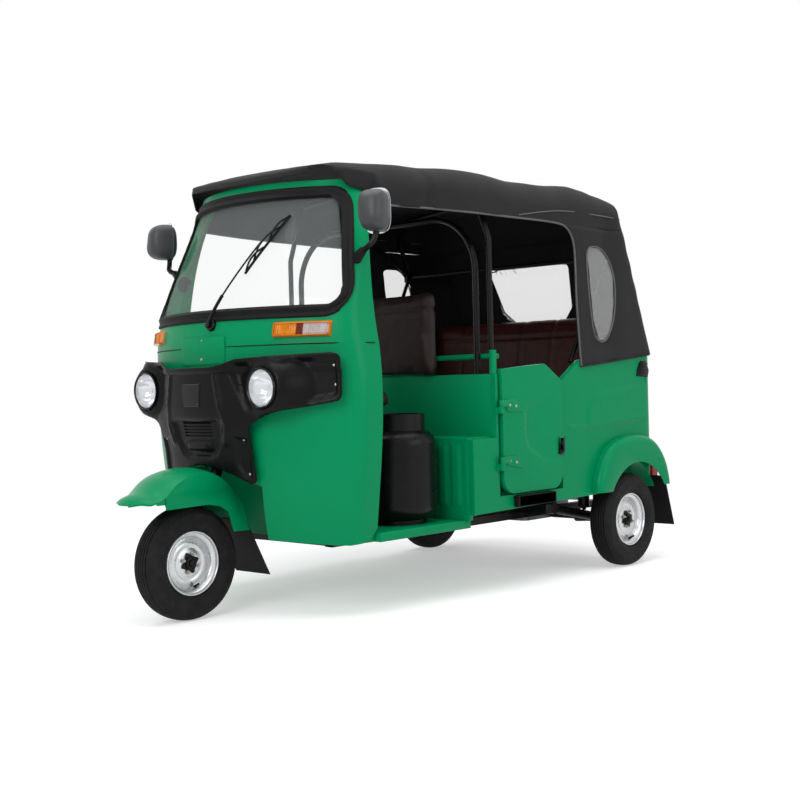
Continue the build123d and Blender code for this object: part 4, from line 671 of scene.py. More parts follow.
def build_wheel(prefix, centre, outward, body, tyre_node, rim_node, shaft_end=None):
    """Tyre, pressed rim with its four-bolt hub, brake drum and valve."""
    bm = turned([(r, a * outward) for r, a in tyre_profile()], centre, steps=144)
    to_piece(bm, prefix + "_tyre", "tyre_rubber", body, tyre_node, flat_above=24)
    bm = turned([(r, a * outward) for r, a in RIM], centre, steps=120)
    to_piece(bm, prefix + "_rim_pressing", "silver_paint", body, rim_node, flat_above=40)
    bm = turned([(r, a * outward) for r, a in BRAKE_DRUM], centre, steps=72)
    to_piece(bm, prefix + "_brake_drum", "black_paint", body)

    bm = bmesh.new()
    face = centre + Vector((0, outward * 0.0190, 0))
    bmesh.ops.create_circle(bm, cap_ends=True, segments=48, radius=0.030)
    for vert in bm.verts:
        angle = math.atan2(vert.co.y, vert.co.x)
        vert.co *= 1 + 0.34 * max(0, math.cos(4 * angle)) ** 1.5
    plate = bmesh.ops.extrude_face_region(bm, geom=bm.faces[:])
    bmesh.ops.translate(bm, vec=(0, 0, 0.006), verts=[g for g in plate["geom"] if isinstance(g, bmesh.types.BMVert)])
    bmesh.ops.recalc_face_normals(bm, faces=bm.faces)
    soften_edges(bm, 0.0012)
    turn = Matrix.Rotation(-outward * math.pi / 2, 4, "X")
    bmesh.ops.transform(bm, matrix=Matrix.Translation(face) @ turn @ Matrix.Rotation(math.radians(20), 4, "Z"),
                        verts=bm.verts)
    reach = face + Vector((0, outward * 0.014, 0))
    add_drum(bm, face, reach, 0.0235, 40, low_radius=0.0245, bevel=0.002)
    add_drum(bm, reach, reach + Vector((0, outward * 0.008, 0)), 0.012, 32, low_radius=0.0135, bevel=0.0015)
    to_piece(bm, prefix + "_hub", "black_paint", body)

    bm = bmesh.new()
    for index in range(4):
        angle = math.radians(20 + 90 * index)
        seat = face + Vector((0.0345 * math.cos(angle), outward * 0.005, 0.0345 * math.sin(angle)))
        add_drum(bm, seat, seat + Vector((0, outward * 0.0022, 0)), 0.0078, 24, bevel=0.0005)
        add_drum(bm, seat, seat + Vector((0, outward * 0.0090, 0)), 0.0056, 6, bevel=0.0006)
        add_drum(bm, seat, seat + Vector((0, outward * 0.0125, 0)), 0.0030, 16, bevel=0.0005)
    to_piece(bm, prefix + "_wheel_nuts", "zinc_plate", body)

    bm = bmesh.new()
    angle = math.radians(-105)
    root = centre + Vector((0.094 * math.cos(angle), outward * 0.013, 0.094 * math.sin(angle)))
    tip = centre + Vector((0.082 * math.cos(angle), outward * 0.036, 0.082 * math.sin(angle)))
    add_drum(bm, root, tip, 0.0036, 20, low_radius=0.0060, bevel=0.0006)
    add_drum(bm, tip, tip + (tip - root).normalized() * 0.007, 0.0042, 20, bevel=0.0006)
    to_piece(bm, prefix + "_valve", "black_rubber", body)
    if shaft_end is not None:
        bm = bmesh.new()
        add_drum(bm, centre - Vector((0, outward * 0.045, 0)), shaft_end, 0.014, 40)
        add_drum(bm, centre - Vector((0, outward * 0.170, 0)), centre - Vector((0, outward * 0.250, 0)), 0.026, 40,
                 low_radius=0.020, bevel=0.002)
        to_piece(bm, prefix + "_half_shaft", "black_paint", body)


build_wheel("front", FRONT_AXLE, 1, FRONT_WHEEL, "front_tyre", "front_rim")
for side, name in ((1, "left"), (-1, "right")):
    build_wheel(f"rear_{name}", Vector((REAR_AXLE_X, side * REAR_WHEEL_Y, FRONT_AXLE.z)), side, f"rear_wheel_{name}",
                f"rear_tyre_{name}", f"rear_rim_{name}", Vector((REAR_AXLE_X, side * 0.1903, FRONT_AXLE.z)))

# ---------------------------------------------------------------- nose panel and lamps
NOSE_OUTLINE = [(0, 0.912), (0.115, 0.912), (0.140, 0.915), (0.165, 0.921), (0.212, 0.938), (0.300, 0.943),
                (0.420, 0.948), (0.530, 0.952), (0.546, 0.949), (0.556, 0.942), (0.560, 0.930), (0.560, 0.806),
                (0.557, 0.792), (0.549, 0.782), (0.535, 0.777), (0.409, 0.754), (0.300, 0.724), (0.268, 0.708),
                (0.255, 0.690), (0.250, 0.660), (0.252, 0.560), (0.256, 0.508), (0.250, 0.494), (0.235, 0.490),
                (0.170, 0.520), (0.090, 0.546), (0, 0.558)]
LAMP_FIELD = [(0.175, 0.905), (0.205, 0.925), (0.530, 0.939), (0.548, 0.928), (0.548, 0.806), (0.538, 0.792),
              (0.405, 0.768), (0.290, 0.742), (0.262, 0.742), (0.240, 0.760)]
CENTRE_FIELD = [(-0.1, 0.722), (0.112, 0.726), (0.140, 0.716), (0.130, 0.650), (0.098, 0.596), (0.062, 0.582),
                (-0.1, 0.582)]
LEG_FIELD = [(0.190, 0.660), (0.240, 0.652), (0.240, 0.512), (0.214, 0.512), (0.186, 0.560)]
SLOTS = [0.662 + 0.0115 * i for i in range(5)]


def nose_height(y, z):
    """How far the nose panel stands from the axis of the front's curve."""
    across = abs(y)
    lift = 0.846 - 0.022 * (1 - smooth_step(0.575, 0.720, z)) - 0.010 * (1 - smooth_step(0.48, 0.60, z))
    lift += 0.012 * (1 - smooth_step(0.135, 0.215, across)) * smooth_step(0.69, 0.78, z)
    lift -= 0.024 * smooth_step(-0.002, 0.016, edge_depth((across, z), LAMP_FIELD)) * \
        (1 - 0.5 * smooth_step(0.40, 0.54, across))
    lift -= 0.013 * smooth_step(-0.003, 0.014, edge_depth((across, z), CENTRE_FIELD))
    lift += 0.006 * swage((across, z), [(0.128, 0.880), (0.150, 0.760), (0.165, 0.700), (0.150, 0.640)], 0.016, 1)
    lift += 0.010 * smooth_step(0.888, 0.900, z) * (1 - 0.6 * smooth_step(0.16, 0.30, across))
    lift -= 0.008 * smooth_step(-0.002, 0.006, edge_depth((across, z), LEG_FIELD))
    if across < 0.0805 and any(low <= z <= low + 0.0055 for low in SLOTS):
        lift -= 0.007
    lip = (1 - smooth_step(0.050, 0.078, across)) * smooth_step(0.606, 0.618, z) * (1 - smooth_step(0.634, 0.650, z))
    return lift + 0.016 * lip


def on_nose(y, z, proud=0.0):
    """Point on the nose panel's face, or proud of it."""
    reach = nose_height(y, z) + proud
    return Vector((NOSE_CENTRE_X + math.sqrt(max(reach ** 2 - y ** 2, 0)), y, z))


def build_nose():
    """Moulded nose panel: its outline cut into cells, bent round the front and given its wall."""
    bm = bmesh.new()
    outline = NOSE_OUTLINE + [(-y, z) for y, z in reversed(NOSE_OUTLINE[1:-1])]
    bmesh.ops.contextual_create(bm, geom=[bm.verts.new((0, y, z)) for y, z in outline])
    bmesh.ops.triangulate(bm, faces=bm.faces[:])
    slot_lines = [z + shift for z in SLOTS for shift in (-0.0001, 0.0001, 0.0054, 0.0056)]
    faces = grid_cuts(bm, bm.faces[:], 1, spaced(-0.56, 0.56, 0.008) + [-0.0806, -0.0804, 0.0804, 0.0806])
    faces = grid_cuts(bm, bm.faces[:], 2, spaced(0.49, 0.952, 0.008) + slot_lines)
    for sign in (1, -1):
        for lens in (0.0735, 0.0765):
            ring = [v for v in bm.verts if abs(math.hypot(v.co.y - sign * LAMP_Y, v.co.z - LAMP_Z) - lens) < 0.0025]
            for vert in ring:
                away = Vector((0, vert.co.y - sign * LAMP_Y, vert.co.z - LAMP_Z)).normalized() * lens
                if lens < 0.075:
                    vert.co = Vector((0, sign * LAMP_Y, LAMP_Z)) + away
    holes = [f for f in bm.faces if min(math.hypot(f.calc_center_median().y - s * LAMP_Y,
                                                   f.calc_center_median().z - LAMP_Z) for s in (1, -1)) < 0.0732]
    bmesh.ops.delete(bm, geom=holes, context="FACES")
    bmesh.ops.remove_doubles(bm, verts=bm.verts, dist=0.00005)
    for vert in bm.verts:
        vert.co = on_nose(vert.co.y, vert.co.z)
        away = math.hypot(abs(vert.co.y) - LAMP_Y, vert.co.z - LAMP_Z)
        flare = (1 - smooth_step(0.0765, 0.150, away)) ** 1.3
        vert.co.x += flare * (LAMP_FRONT_X - 0.007 - vert.co.x)
    bmesh.ops.recalc_face_normals(bm, faces=bm.faces)
    if sum(f.normal.x for f in bm.faces) < 0:
        bmesh.ops.reverse_faces(bm, faces=bm.faces)
    piece = to_piece(bm, "nose_panel_moulding", "moulded_plastic", BODY, "nose_panel", 40,
                     close=False)
    wall = piece.modifiers.new("wall", "SOLIDIFY")
    wall.thickness, wall.offset = 0.006, -1
    return piece


build_nose()

for side, name in ((1, "left"), (-1, "right")):
    lens_centre = Vector((LAMP_FRONT_X, side * LAMP_Y, LAMP_Z))
    dome = [(0.0, 0.0060), (0.020, 0.0056), (0.038, 0.0042), (0.054, 0.0018), (0.064, -0.0012), (0.0665, -0.0040),
            (0.0640, -0.0062), (0.050, -0.0016), (0.030, 0.0016), (0.0, 0.0028)]
    bm = turned(dome, lens_centre, steps=64, axis=(1, 0, 0))
    to_piece(bm, f"headlight_lens_{name}", "lamp_glass", BODY, "headlights" if side > 0 else ())
    bowl = [(0.0665, -0.0050), (0.0655, -0.0050), (0.0600, -0.0200), (0.0480, -0.0400), (0.0300, -0.0540),
            (0.0120, -0.0600), (0.0, -0.0605), (0.0, -0.0640), (0.0140, -0.0635), (0.0320, -0.0575),
            (0.0510, -0.0430), (0.0630, -0.0210)]
    bm = turned(bowl, lens_centre, steps=64, axis=(1, 0, 0))
    add_drum(bm, lens_centre - Vector((0.060, 0, 0)), lens_centre - Vector((0.030, 0, 0)), 0.0085, 24,
             low_radius=0.011)
    add_drum(bm, lens_centre - Vector((0.030, 0, 0)), lens_centre - Vector((0.022, 0, 0)), 0.0125, 24,
             low_radius=0.009)
    for angle in (-30, 30, 90, 150, 210, 270):
        lean = Vector((0, math.cos(math.radians(angle)), math.sin(math.radians(angle))))
        add_drum(bm, lens_centre - Vector((0.046, 0, 0)) + lean * 0.040, lens_centre - Vector((0.022, 0,
                                                            0)) + lean * 0.056,
                 0.0016, 8)
    to_piece(bm, f"headlight_reflector_{name}", "reflector", BODY, flat_above=40)
    ring = [(0.0655, 0.0000), (0.0690, 0.0026), (0.0718, 0.0012), (0.0728, -0.0030), (0.0728, -0.0200),
            (0.0690, -0.0200), (0.0680, -0.0060)]
    bm = turned(ring, lens_centre, steps=72, axis=(1, 0, 0))
    to_piece(bm, f"headlight_bezel_{name}", "gloss_plastic", BODY)

# ---------------------------------------------------------------- windscreen surround, wiper, mirrors and signals
def surface_of(*names):
    """Some CAD nodes as one surface to cast rays on."""
    bm = bmesh.new()
    for name in names:
        bm.from_mesh(nodes[name].data)
    tree = BVHTree.FromBMesh(bm)
    bm.free()
    return tree


FRONT_SKIN = surface_of("windshield_frame", "windshield", "windshield_gasket", "front_cowl")


def on_front(across, height, proud=0.0):
    """Point on the front's skin straight behind a place seen from ahead, or proud of it."""
    found, normal = FRONT_SKIN.ray_cast(Vector((2, across, height)), Vector((-1, 0, 0)))[:2]
    if found is None:
        return Vector((FRONT_AXLE.x - 0.45, across, height))
    return found + normal * proud


SKIN_LINES = {}


def skin_line(height):
    """The front's skin at a height: (way round from the middle, point), to the left."""
    level = round(height, 3)
    if level not in SKIN_LINES:
        line, gone = [], 0.0
        for step in range(0, 232):
            angle = math.radians(step * 0.5)
            way = Vector((math.cos(angle), math.sin(angle), 0))
            found = FRONT_SKIN.ray_cast(Vector((FRONT_AXLE.x - 0.62, 0, level)) + way * 1.5, -way)[0]
            if found is None:
                continue
            gone += (found - line[-1][1]).length if line else 0
            line.append((gone, found))
        SKIN_LINES[level] = line
    return SKIN_LINES[level]


def round_front(along, height, proud=0.0):
    """Point on the front's skin at a way round it from the middle, or proud of it."""
    line, side = skin_line(height), 1 if along >= 0 else -1
    for (low, a), (high, b) in zip(line, line[1:]):
        if high >= abs(along) or (high, b) == line[-1]:
            spot = a.lerp(b, min((abs(along) - low) / max(high - low, 1e-6), 1))
            out = Vector((b.y - a.y, a.x - b.x, 0)).normalized()
            spot = spot + out * proud
            return Vector((spot.x, side * spot.y, height))
    return Vector((0, 0, height))


def rounded_loop(corners, radii, steps=12):
    """Closed outline with rounded corners, as (place, outward way) in a plane; corners run clockwise or not alike."""
    count, made = len(corners), []
    middle = sum((Vector(c) for c in corners), Vector((0, 0))) / count
    for index in range(count):
        here = Vector(corners[index])
        back = (Vector(corners[index - 1]) - here).normalized()
        on = (Vector(corners[(index + 1) % count]) - here).normalized()
        half = back.angle(on) / 2
        reach = radii[index] / math.tan(half)
        centre = here + (back + on).normalized() * radii[index] / math.sin(half)
        first, last = here + back * reach - centre, here + on * reach - centre
        turn = first.angle_signed(last)
        for step in range(steps + 1):
            way = first.copy()
            way.rotate(Matrix.Rotation(-turn * step / steps, 2))
            made.append((centre + way, way.normalized()))
    full = []
    for (a, way_a), (b, way_b) in zip(made, made[1:] + made[:1]):
        parts = max(1, round((b - a).length / 0.02))
        for part in range(parts):
            full.append((a.lerp(b, part / parts), way_a.lerp(way_b, part / parts).normalized()))
    return full


def moulding(name, loop, profile, finish, replaces=()):
    """Rubber or trim section (outwards, proud) laid round a loop on the front's skin."""
    bm = bmesh.new()
    bmesh.ops.create_grid(bm, x_segments=len(loop), y_segments=len(profile) - 1, size=1)
    for vert in bm.verts:
        place, way = loop[round((vert.co.x + 1) / 2 * len(loop)) % len(loop)]
        out, proud = profile[round((vert.co.y + 1) / 2 * (len(profile) - 1))]
        spot = place + way * out
        vert.co = round_front(spot.x, spot.y, proud)
    return to_piece(bm, name, finish, BODY, replaces, 70)


WINDOW_LOOP = rounded_loop([(0.615, 1.094), (0.473, 1.552), (-0.473, 1.552), (-0.615, 1.094)],
                           [0.085, 0.100, 0.100, 0.085])
moulding("windshield_rubber", WINDOW_LOOP, [(-0.031, -0.004), (-0.030, 0.004), (-0.020, 0.007), (-0.005, 0.0065),
                                            (-0.002, 0.0045), (0.001, 0.0065), (0.009, 0.0085), (0.014, 0.006),
                                            (0.0165, -0.004)],
         "black_rubber", "windshield_gasket")

# wiper
PIVOT, BLADE_LOW, BLADE_TIP = (0.048, 1.066), (0.158, 1.247), (0.268, 1.460)
WIPER_JOINT = ((BLADE_LOW[0] + BLADE_TIP[0]) / 2 - 0.014, (BLADE_LOW[1] + BLADE_TIP[1]) / 2 + 0.004)
bm = bmesh.new()
foot = on_front(*PIVOT)
add_drum(bm, foot - Vector((0.004, 0, 0)), foot + Vector((0.012, 0, 0.002)), 0.021, 32, low_radius=0.024, bevel=0.003)
add_drum(bm, foot + Vector((0.010, 0, 0)), foot + Vector((0.026, 0, 0.003)), 0.011, 24, bevel=0.002)
to_piece(bm, "wiper_spindle", "gloss_plastic", BODY, "wiper")
elbow = (PIVOT[0] + (WIPER_JOINT[0] - PIVOT[0]) * 0.34, PIVOT[1] + (WIPER_JOINT[1] - PIVOT[1]) * 0.34)
wire("wiper_arm_head", [on_front(*PIVOT, 0.018), on_front(PIVOT[0] + 0.02, PIVOT[1] + 0.035, 0.030),
                        on_front(*elbow, 0.028)], 0.0062, "black_paint", BODY)
wire("wiper_arm", [on_front(*elbow, 0.028), on_front((elbow[0] + WIPER_JOINT[0]) / 2,
                                                     (elbow[1] + WIPER_JOINT[1]) / 2, 0.030),
                   on_front(*WIPER_JOINT, 0.024)], 0.0034, "black_paint", BODY)


def along_blade(share, aside=0.0, proud=0.0):
    run = Vector((BLADE_TIP[0] - BLADE_LOW[0], BLADE_TIP[1] - BLADE_LOW[1]))
    square = Vector((-run.y, run.x)).normalized()
    spot = Vector(BLADE_LOW) + run * share + square * aside
    return on_front(spot.x, spot.y, proud)


wire("wiper_blade_rubber", [along_blade(i / 8, 0, 0.006) for i in range(9)], 0.0042, "black_rubber", BODY)
wire("wiper_blade_back", [along_blade(i / 8, 0, 0.0105) for i in range(9)], 0.0026, "black_paint", BODY)
for index, (low, high, height) in enumerate(((0.04, 0.44, 0.019), (0.56, 0.96, 0.019), (0.22, 0.78, 0.027))):
    wire(f"wiper_bow_{index + 1}", [along_blade(low, 0, 0.011), along_blade(low * 0.75 + high * 0.25, 0.006, height),
                                    along_blade((low + high) / 2, 0.008, height + 0.002),
                                    along_blade(low * 0.25 + high * 0.75, 0.006, height), along_blade(high, 0,
                                                            0.011)],
         0.0036, "black_paint", BODY)

# turn signals: amber frame, orange half towards the middle, dark divider and clear outer lens
SIGNAL_INNER, SIGNAL_OUTER, SIGNAL_LOW, SIGNAL_HIGH = 0.314, 0.500, 1.014, 1.070


def signal_face(along, up):
    """Height of a signal lamp over the skin, and which of its colours shows there."""
    edge = min(along, SIGNAL_OUTER - SIGNAL_INNER - along, up, SIGNAL_HIGH - SIGNAL_LOW - up)
    corner = Vector((max(0, 0.014 - min(along, SIGNAL_OUTER - SIGNAL_INNER - along)),
                     max(0, 0.014 - min(up, SIGNAL_HIGH - SIGNAL_LOW - up))))
    edge = min(edge, 0.014 - corner.length)
    height = 0.019 * smooth_step(-0.004, 0.007, edge)
    colour = 0
    if edge > 0.0075:
        height -= 0.0045
        colour = 1 if along < 0.082 else 2 if along < 0.104 else 3
        flute = 0.0011 if colour in (1, 3) else 0.0006
        height += flute * math.cos(along / 0.0062 * math.tau) * smooth_step(0.0075, 0.012, edge)
        height += 0.0035 * smooth_step(0.0075, 0.020, edge)
        height -= 0.003 * (1 - smooth_step(0, 0.004, abs(along - 0.082)))
    return height, colour


for side, name in ((1, "left"), (-1, "right")):
    bm = bmesh.new()
    columns, rows = 124, 40
    bmesh.ops.create_grid(bm, x_segments=columns, y_segments=rows, size=1)
    tints = {}
    for vert in bm.verts:
        along = (vert.co.x + 1) / 2 * (SIGNAL_OUTER - SIGNAL_INNER)
        up = (vert.co.y + 1) / 2 * (SIGNAL_HIGH - SIGNAL_LOW)
        height, colour = signal_face(along, up)
        rim = min(along, SIGNAL_OUTER - SIGNAL_INNER - along, up, SIGNAL_HIGH - SIGNAL_LOW - up) < 0.0001
        spot = on_front(side * (SIGNAL_INNER + along), SIGNAL_LOW + up - 0.004)
        vert.co = spot + Vector((math.cos(0.55), side * math.sin(0.55), 0)) * (-0.006 if rim else height)
        tints[vert] = colour
    for face in bm.faces:
        shades = [tints[v] for v in face.verts]
        face.material_index = min(shades)
    to_piece(bm, f"turn_signal_{name}", ("amber_lens", "orange_lens", "dark_lens", "clear_lens"), BODY,
             "turn_signals" if side > 0 else (), 30)

# mirrors
MIRROR_SPOT = Vector((FRONT_AXLE.x - 0.408, 0.604, 1.450))
MIRROR_TURN = math.radians(18)
for side, name in ((1, "left"), (-1, "right")):
    bm = bmesh.new()
    bmesh.ops.create_uvsphere(bm, u_segments=64, v_segments=40, radius=1)
    for vert in bm.verts:
        way = vert.co.copy()
        size = sum(abs(c / s) ** p for c, s, p in zip(way, (0.028, 0.063, 0.091), (2.4, 3.6, 3.6))) ** (-1 / 3.3)
        spot = way * size
        spot.x *= 1 if spot.x > 0 else 0.55
        spot.y *= 1 - 0.10 * smooth_step(0.0, -0.09, spot.z)
        spot.x += 0.010 * smooth_step(0.02, -0.05, spot.z) * smooth_step(-0.03, 0.05,
                                                            spot.y) * (1 if spot.x > 0 else 0)
        spot.rotate(Matrix.Rotation(MIRROR_TURN, 3, "Z"))
        vert.co = MIRROR_SPOT + spot
    bmesh.ops.scale(bm, vec=(1, side, 1), verts=bm.verts)
    to_piece(bm, f"mirror_housing_{name}", "mirror_plastic", BODY, "mirrors" if side > 0 else (), 60)
    bm = bmesh.new()
    bmesh.ops.create_circle(bm, cap_ends=True, segments=64, radius=1)
    for vert in bm.verts:
        angle = math.atan2(vert.co.y, vert.co.x)
        reach = (abs(math.cos(angle) / 0.054) ** 3.4 + abs(math.sin(angle) / 0.081) ** 3.4) ** (-1 / 3.4)
        spot = Vector((-0.0150, reach * math.cos(angle) * 0.96, reach * math.sin(angle)))
        spot.rotate(Matrix.Rotation(MIRROR_TURN, 3, "Z"))
        vert.co = MIRROR_SPOT + spot
        vert.co.y *= side
    face = bmesh.ops.extrude_face_region(bm, geom=bm.faces[:])
    bmesh.ops.translate(bm, vec=(-0.0016, 0, 0), verts=[g for g in face["geom"] if isinstance(g, bmesh.types.BMVert)])
    to_piece(bm, f"mirror_glass_{name}", "mirror_glass", BODY)
    root = Vector((FRONT_AXLE.x - 0.410, side * 0.496, 1.285))
    elbow = Vector((MIRROR_SPOT.x + 0.008, side * 0.580, 1.330))
    wire(f"mirror_stalk_{name}", [root, root.lerp(elbow, 0.5) + Vector((0, 0, 0.004)), elbow,
                                  Vector((MIRROR_SPOT.x - 0.006, side * 0.592, 1.352)),
                                  Vector((MIRROR_SPOT.x - 0.012, side * 0.596, 1.390))], 0.0105, "black_paint", BODY)
    bm = bmesh.new()
    add_drum(bm, root + Vector((0.006, -side * 0.020, -0.020)), root.lerp(elbow, 0.62) + Vector((0, 0, 0.006)),
             0.0135, 32,
             low_radius=0.027, bevel=0.004)
    add_drum(bm, root + Vector((0.020, -side * 0.018, -0.032)), root + Vector((-0.018, side * 0.006, -0.016)),
             0.020, 32,
             bevel=0.003)
    to_piece(bm, f"mirror_bracket_{name}", "moulded_plastic", BODY)

# ---------------------------------------------------------------- canopy edging and windows
SIDE_SKIN = surface_of("canopy_roof", "canopy_sides", "canopy_rear")


def on_side(behind, height, side, proud=0.0):
    """Point on the canopy's side cloth."""
    found = outermost(SIDE_SKIN, Vector((FRONT_AXLE.x + behind, 0, height)), Vector((0, side, 0)))
    spot = found if found else Vector((FRONT_AXLE.x + behind, side * 0.606, height))
    lower = 1 - smooth_step(1.02, 0.90, height)
    spot -= outwards(spot) * cloth_sag(spot) * (0.25 + 0.75 * lower)
    return spot + Vector((0, side * proud, 0))


def on_rear(across, height, proud=0.0):
    """Point on the canopy's rear cloth."""
    found = outermost(SIDE_SKIN, Vector((-0.6, across, height)), Vector((-1, 0, 0)))
    spot = found if found else Vector((-1.1, across, height))
    lower = 1 - smooth_step(1.02, 0.90, height)
    spot -= outwards(spot) * cloth_sag(spot) * (0.25 + 0.75 * lower)
    return spot + Vector((-proud, 0, 0))


OPENING_EDGE = [(-0.500, 1.492), (-0.700, 1.492), (-0.950, 1.492), (-1.200, 1.492), (-1.400, 1.492), (-1.500, 1.491),
                (-1.558, 1.484), (-1.602, 1.455), (-1.626, 1.405), (-1.632, 1.300), (-1.633, 1.173), (-1.644, 1.030),
                (-1.655, 0.892)]
HEM = [(-1.655, 0.890), (-1.800, 0.902), (-1.950, 0.916), (-2.100, 0.930), (-2.200, 0.940)]
ROOF_SEAM = [(-1.250, 1.505), (-1.420, 1.532), (-1.585, 1.548), (-1.800, 1.548), (-1.950, 1.545), (-2.010, 1.543)]
QUARTER_LOOP = [(-1.716, 1.400), (-1.790, 1.412), (-1.850, 1.400), (-1.905, 1.352), (-1.934, 1.270), (-1.938, 1.180),
                (-1.924, 1.100), (-1.895, 1.035), (-1.858, 0.998), (-1.800, 0.996), (-1.762, 1.030), (-1.745, 1.100),
                (-1.728, 1.200), (-1.716, 1.310)]
for side, name in ((1, "left"), (-1, "right")):
    wire(f"opening_piping_{name}", [on_side(x, z, side, 0.001) for x, z in OPENING_EDGE], 0.0042, "piping", BODY,
         resolution=8)
    wire(f"side_hem_{name}", [on_side(x, z, side, 0.0005) for x, z in HEM], 0.0038, "canopy_cloth", BODY)
    wire(f"roof_seam_{name}", [on_side(x, z, side, 0.0005) for x, z in ROOF_SEAM], 0.0026, "piping", BODY)
    ring = [on_side(x, z, side, 0.0006) for x, z in QUARTER_LOOP]
    wire(f"quarter_window_piping_{name}", ring, 0.0036, "piping", BODY, cyclic=True)
    bm = bmesh.new()
    bmesh.ops.contextual_create(bm, geom=[bm.verts.new((p.x, p.z, 0)) for p in ring])
    bmesh.ops.triangulate(bm, faces=bm.faces[:])
    grid_cuts(bm, bm.faces[:], 0, spaced(ring[9].x - 0.13, ring[0].x, 0.02))
    grid_cuts(bm, bm.faces[:], 1, spaced(0.99, 1.42, 0.02))
    for vert in bm.verts:
        vert.co = on_side(vert.co.x - FRONT_AXLE.x, vert.co.y, side, -0.002)
        vert.co.y -= side * 0.003 * noise.noise(Vector((vert.co.x * 14, vert.co.z * 9, side)))
    film = to_piece(bm, f"quarter_window_film_{name}", "window_film", BODY, (), 80, close=False)
    film.modifiers.new("film", "SOLIDIFY").thickness = 0.0008
REAR_LOOP = [loop_place for loop_place, way in rounded_loop([(0.262, 1.385), (0.225, 1.115), (-0.225, 1.115),
                                                             (-0.262, 1.385)], [0.050, 0.070, 0.070, 0.050], 6)]
wire("rear_window_piping", [on_rear(p.x, p.y, 0.0006) for p in REAR_LOOP], 0.0036, "piping", BODY,
     cyclic=True)
bm = bmesh.new()
bmesh.ops.contextual_create(bm, geom=[bm.verts.new((p.x, p.y, 0)) for p in REAR_LOOP])
bmesh.ops.triangulate(bm, faces=bm.faces[:])
grid_cuts(bm, bm.faces[:], 0, spaced(-0.25, 0.25, 0.03))
grid_cuts(bm, bm.faces[:], 1, spaced(1.11, 1.39, 0.03))
for vert in bm.verts:
    vert.co = on_rear(vert.co.x, vert.co.y, -0.002)
film = to_piece(bm, "rear_window_film", "window_film", BODY, (), 80, close=False)
film.modifiers.new("film", "SOLIDIFY").thickness = 0.0008
wire("rear_hem", [on_rear(y, 0.947, 0.0005) for y in (-0.50, -0.25, 0, 0.25, 0.50)], 0.0038, "canopy_cloth", BODY)

# ---------------------------------------------------------------- seats
def swollen(node, finish, cell, most, channels=(), wrap=0.006):
    """Padded cover blown up from a seat's solid, its sewn channels drawn in afterwards."""
    bm = node_copy(node)
    low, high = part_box(node)
    middle = (low + high) / 2
    for vert in bm.verts:
        vert.co = middle + Vector(tuple((c - m) * (1 - 2 * wrap / max(s, 0.02))
                                        for c, m, s in zip(vert.co, middle, high - low)))
    mesh = bpy.data.meshes.new(node + "_cover")
    bm.to_mesh(mesh)
    bm.free()
    piece = bpy.data.objects.new(node + "_cover", mesh)
    bpy.context.scene.collection.objects.link(piece)
    bpy.context.view_layer.update()
    remesh = piece.modifiers.new("cells", "REMESH")
    remesh.mode, remesh.voxel_size = "VOXEL", cell

    def settle():
        graph = bpy.context.evaluated_depsgraph_get()
        done = bpy.data.meshes.new_from_object(piece.evaluated_get(graph))
        piece.modifiers.clear()
        piece.data = done

    settle()
    rest = [v.co.copy() for v in piece.data.vertices]
    cloth = piece.modifiers.new("swell", "CLOTH")
    cloth.settings.use_pressure = True
    cloth.settings.uniform_pressure_force = 4
    cloth.settings.effector_weights.gravity = 0
    cloth.settings.quality = 4
    for frame_number in range(1, 21):
        bpy.context.scene.frame_set(frame_number)
    settle()
    bpy.context.scene.frame_set(1)
    for vert, start in zip(piece.data.vertices, rest):
        move = vert.co - start
        if move.length > most:
            vert.co = start + move.normalized() * most
    bm = bmesh.new()
    bm.from_mesh(piece.data)
    for _ in range(3):
        bmesh.ops.smooth_vert(bm, verts=bm.verts, factor=0.5, use_axis_x=True, use_axis_y=True, use_axis_z=True)
    new_low = Vector(tuple(min(v.co[a] for v in bm.verts) for a in range(3)))
    new_high = Vector(tuple(max(v.co[a] for v in bm.verts) for a in range(3)))
    for vert in bm.verts:
        vert.co = Vector(tuple(l + (c - nl) * (h - l) / (nh - nl)
                               for c, nl, nh, l, h in zip(vert.co, new_low, new_high, low, high)))
    bm.normal_update()
    for vert in bm.verts:
        depth = 0
        for axis, place, width, sunk in channels:
            depth = max(depth, sunk * (1 - smooth_step(0, width, abs(vert.co[axis] - place))))
        pucker = 0.0012 * noise.noise(vert.co * 16) + 0.0006 * noise.noise(vert.co * 45)
        vert.co -= vert.normal * (depth + abs(pucker))
    bmesh.ops.recalc_face_normals(bm, faces=bm.faces)
    old = piece.data
    bpy.data.objects.remove(piece)
    bpy.data.meshes.remove(old)
    made = to_piece(bm, node + "_padding", finish, BODY, node, 80)
    made.modifiers.new("round", "SUBSURF").levels = 1
    made.modifiers["round"].render_levels = 1
    return made


seat_low, seat_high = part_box("rear_seat_cushion")
back_low, back_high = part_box("rear_seat_back")
front_low, front_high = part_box("driver_seat_cushion")
rest_low, rest_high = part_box("driver_seat_back")
swollen("rear_seat_cushion", "maroon_vinyl", 0.011, 0.022,
        [(1, y, 0.012, 0.007) for y in (-0.36, -0.18, 0, 0.18, 0.36)] + [(2, seat_high.z - 0.035, 0.008, 0.004)])
swollen("rear_seat_back", "maroon_vinyl", 0.011, 0.022,
        [(2, back_high.z - 0.085, 0.012, 0.008)] + [(1, y, 0.012, 0.006) for y in (-0.36, -0.18, 0, 0.18, 0.36)])
swollen("driver_seat_cushion", "brown_vinyl", 0.008, 0.022, [(2, front_high.z - 0.03, 0.008, 0.005)])
swollen("driver_seat_back", "brown_vinyl", 0.008, 0.022, [(2, rest_high.z - 0.070, 0.010, 0.007)])

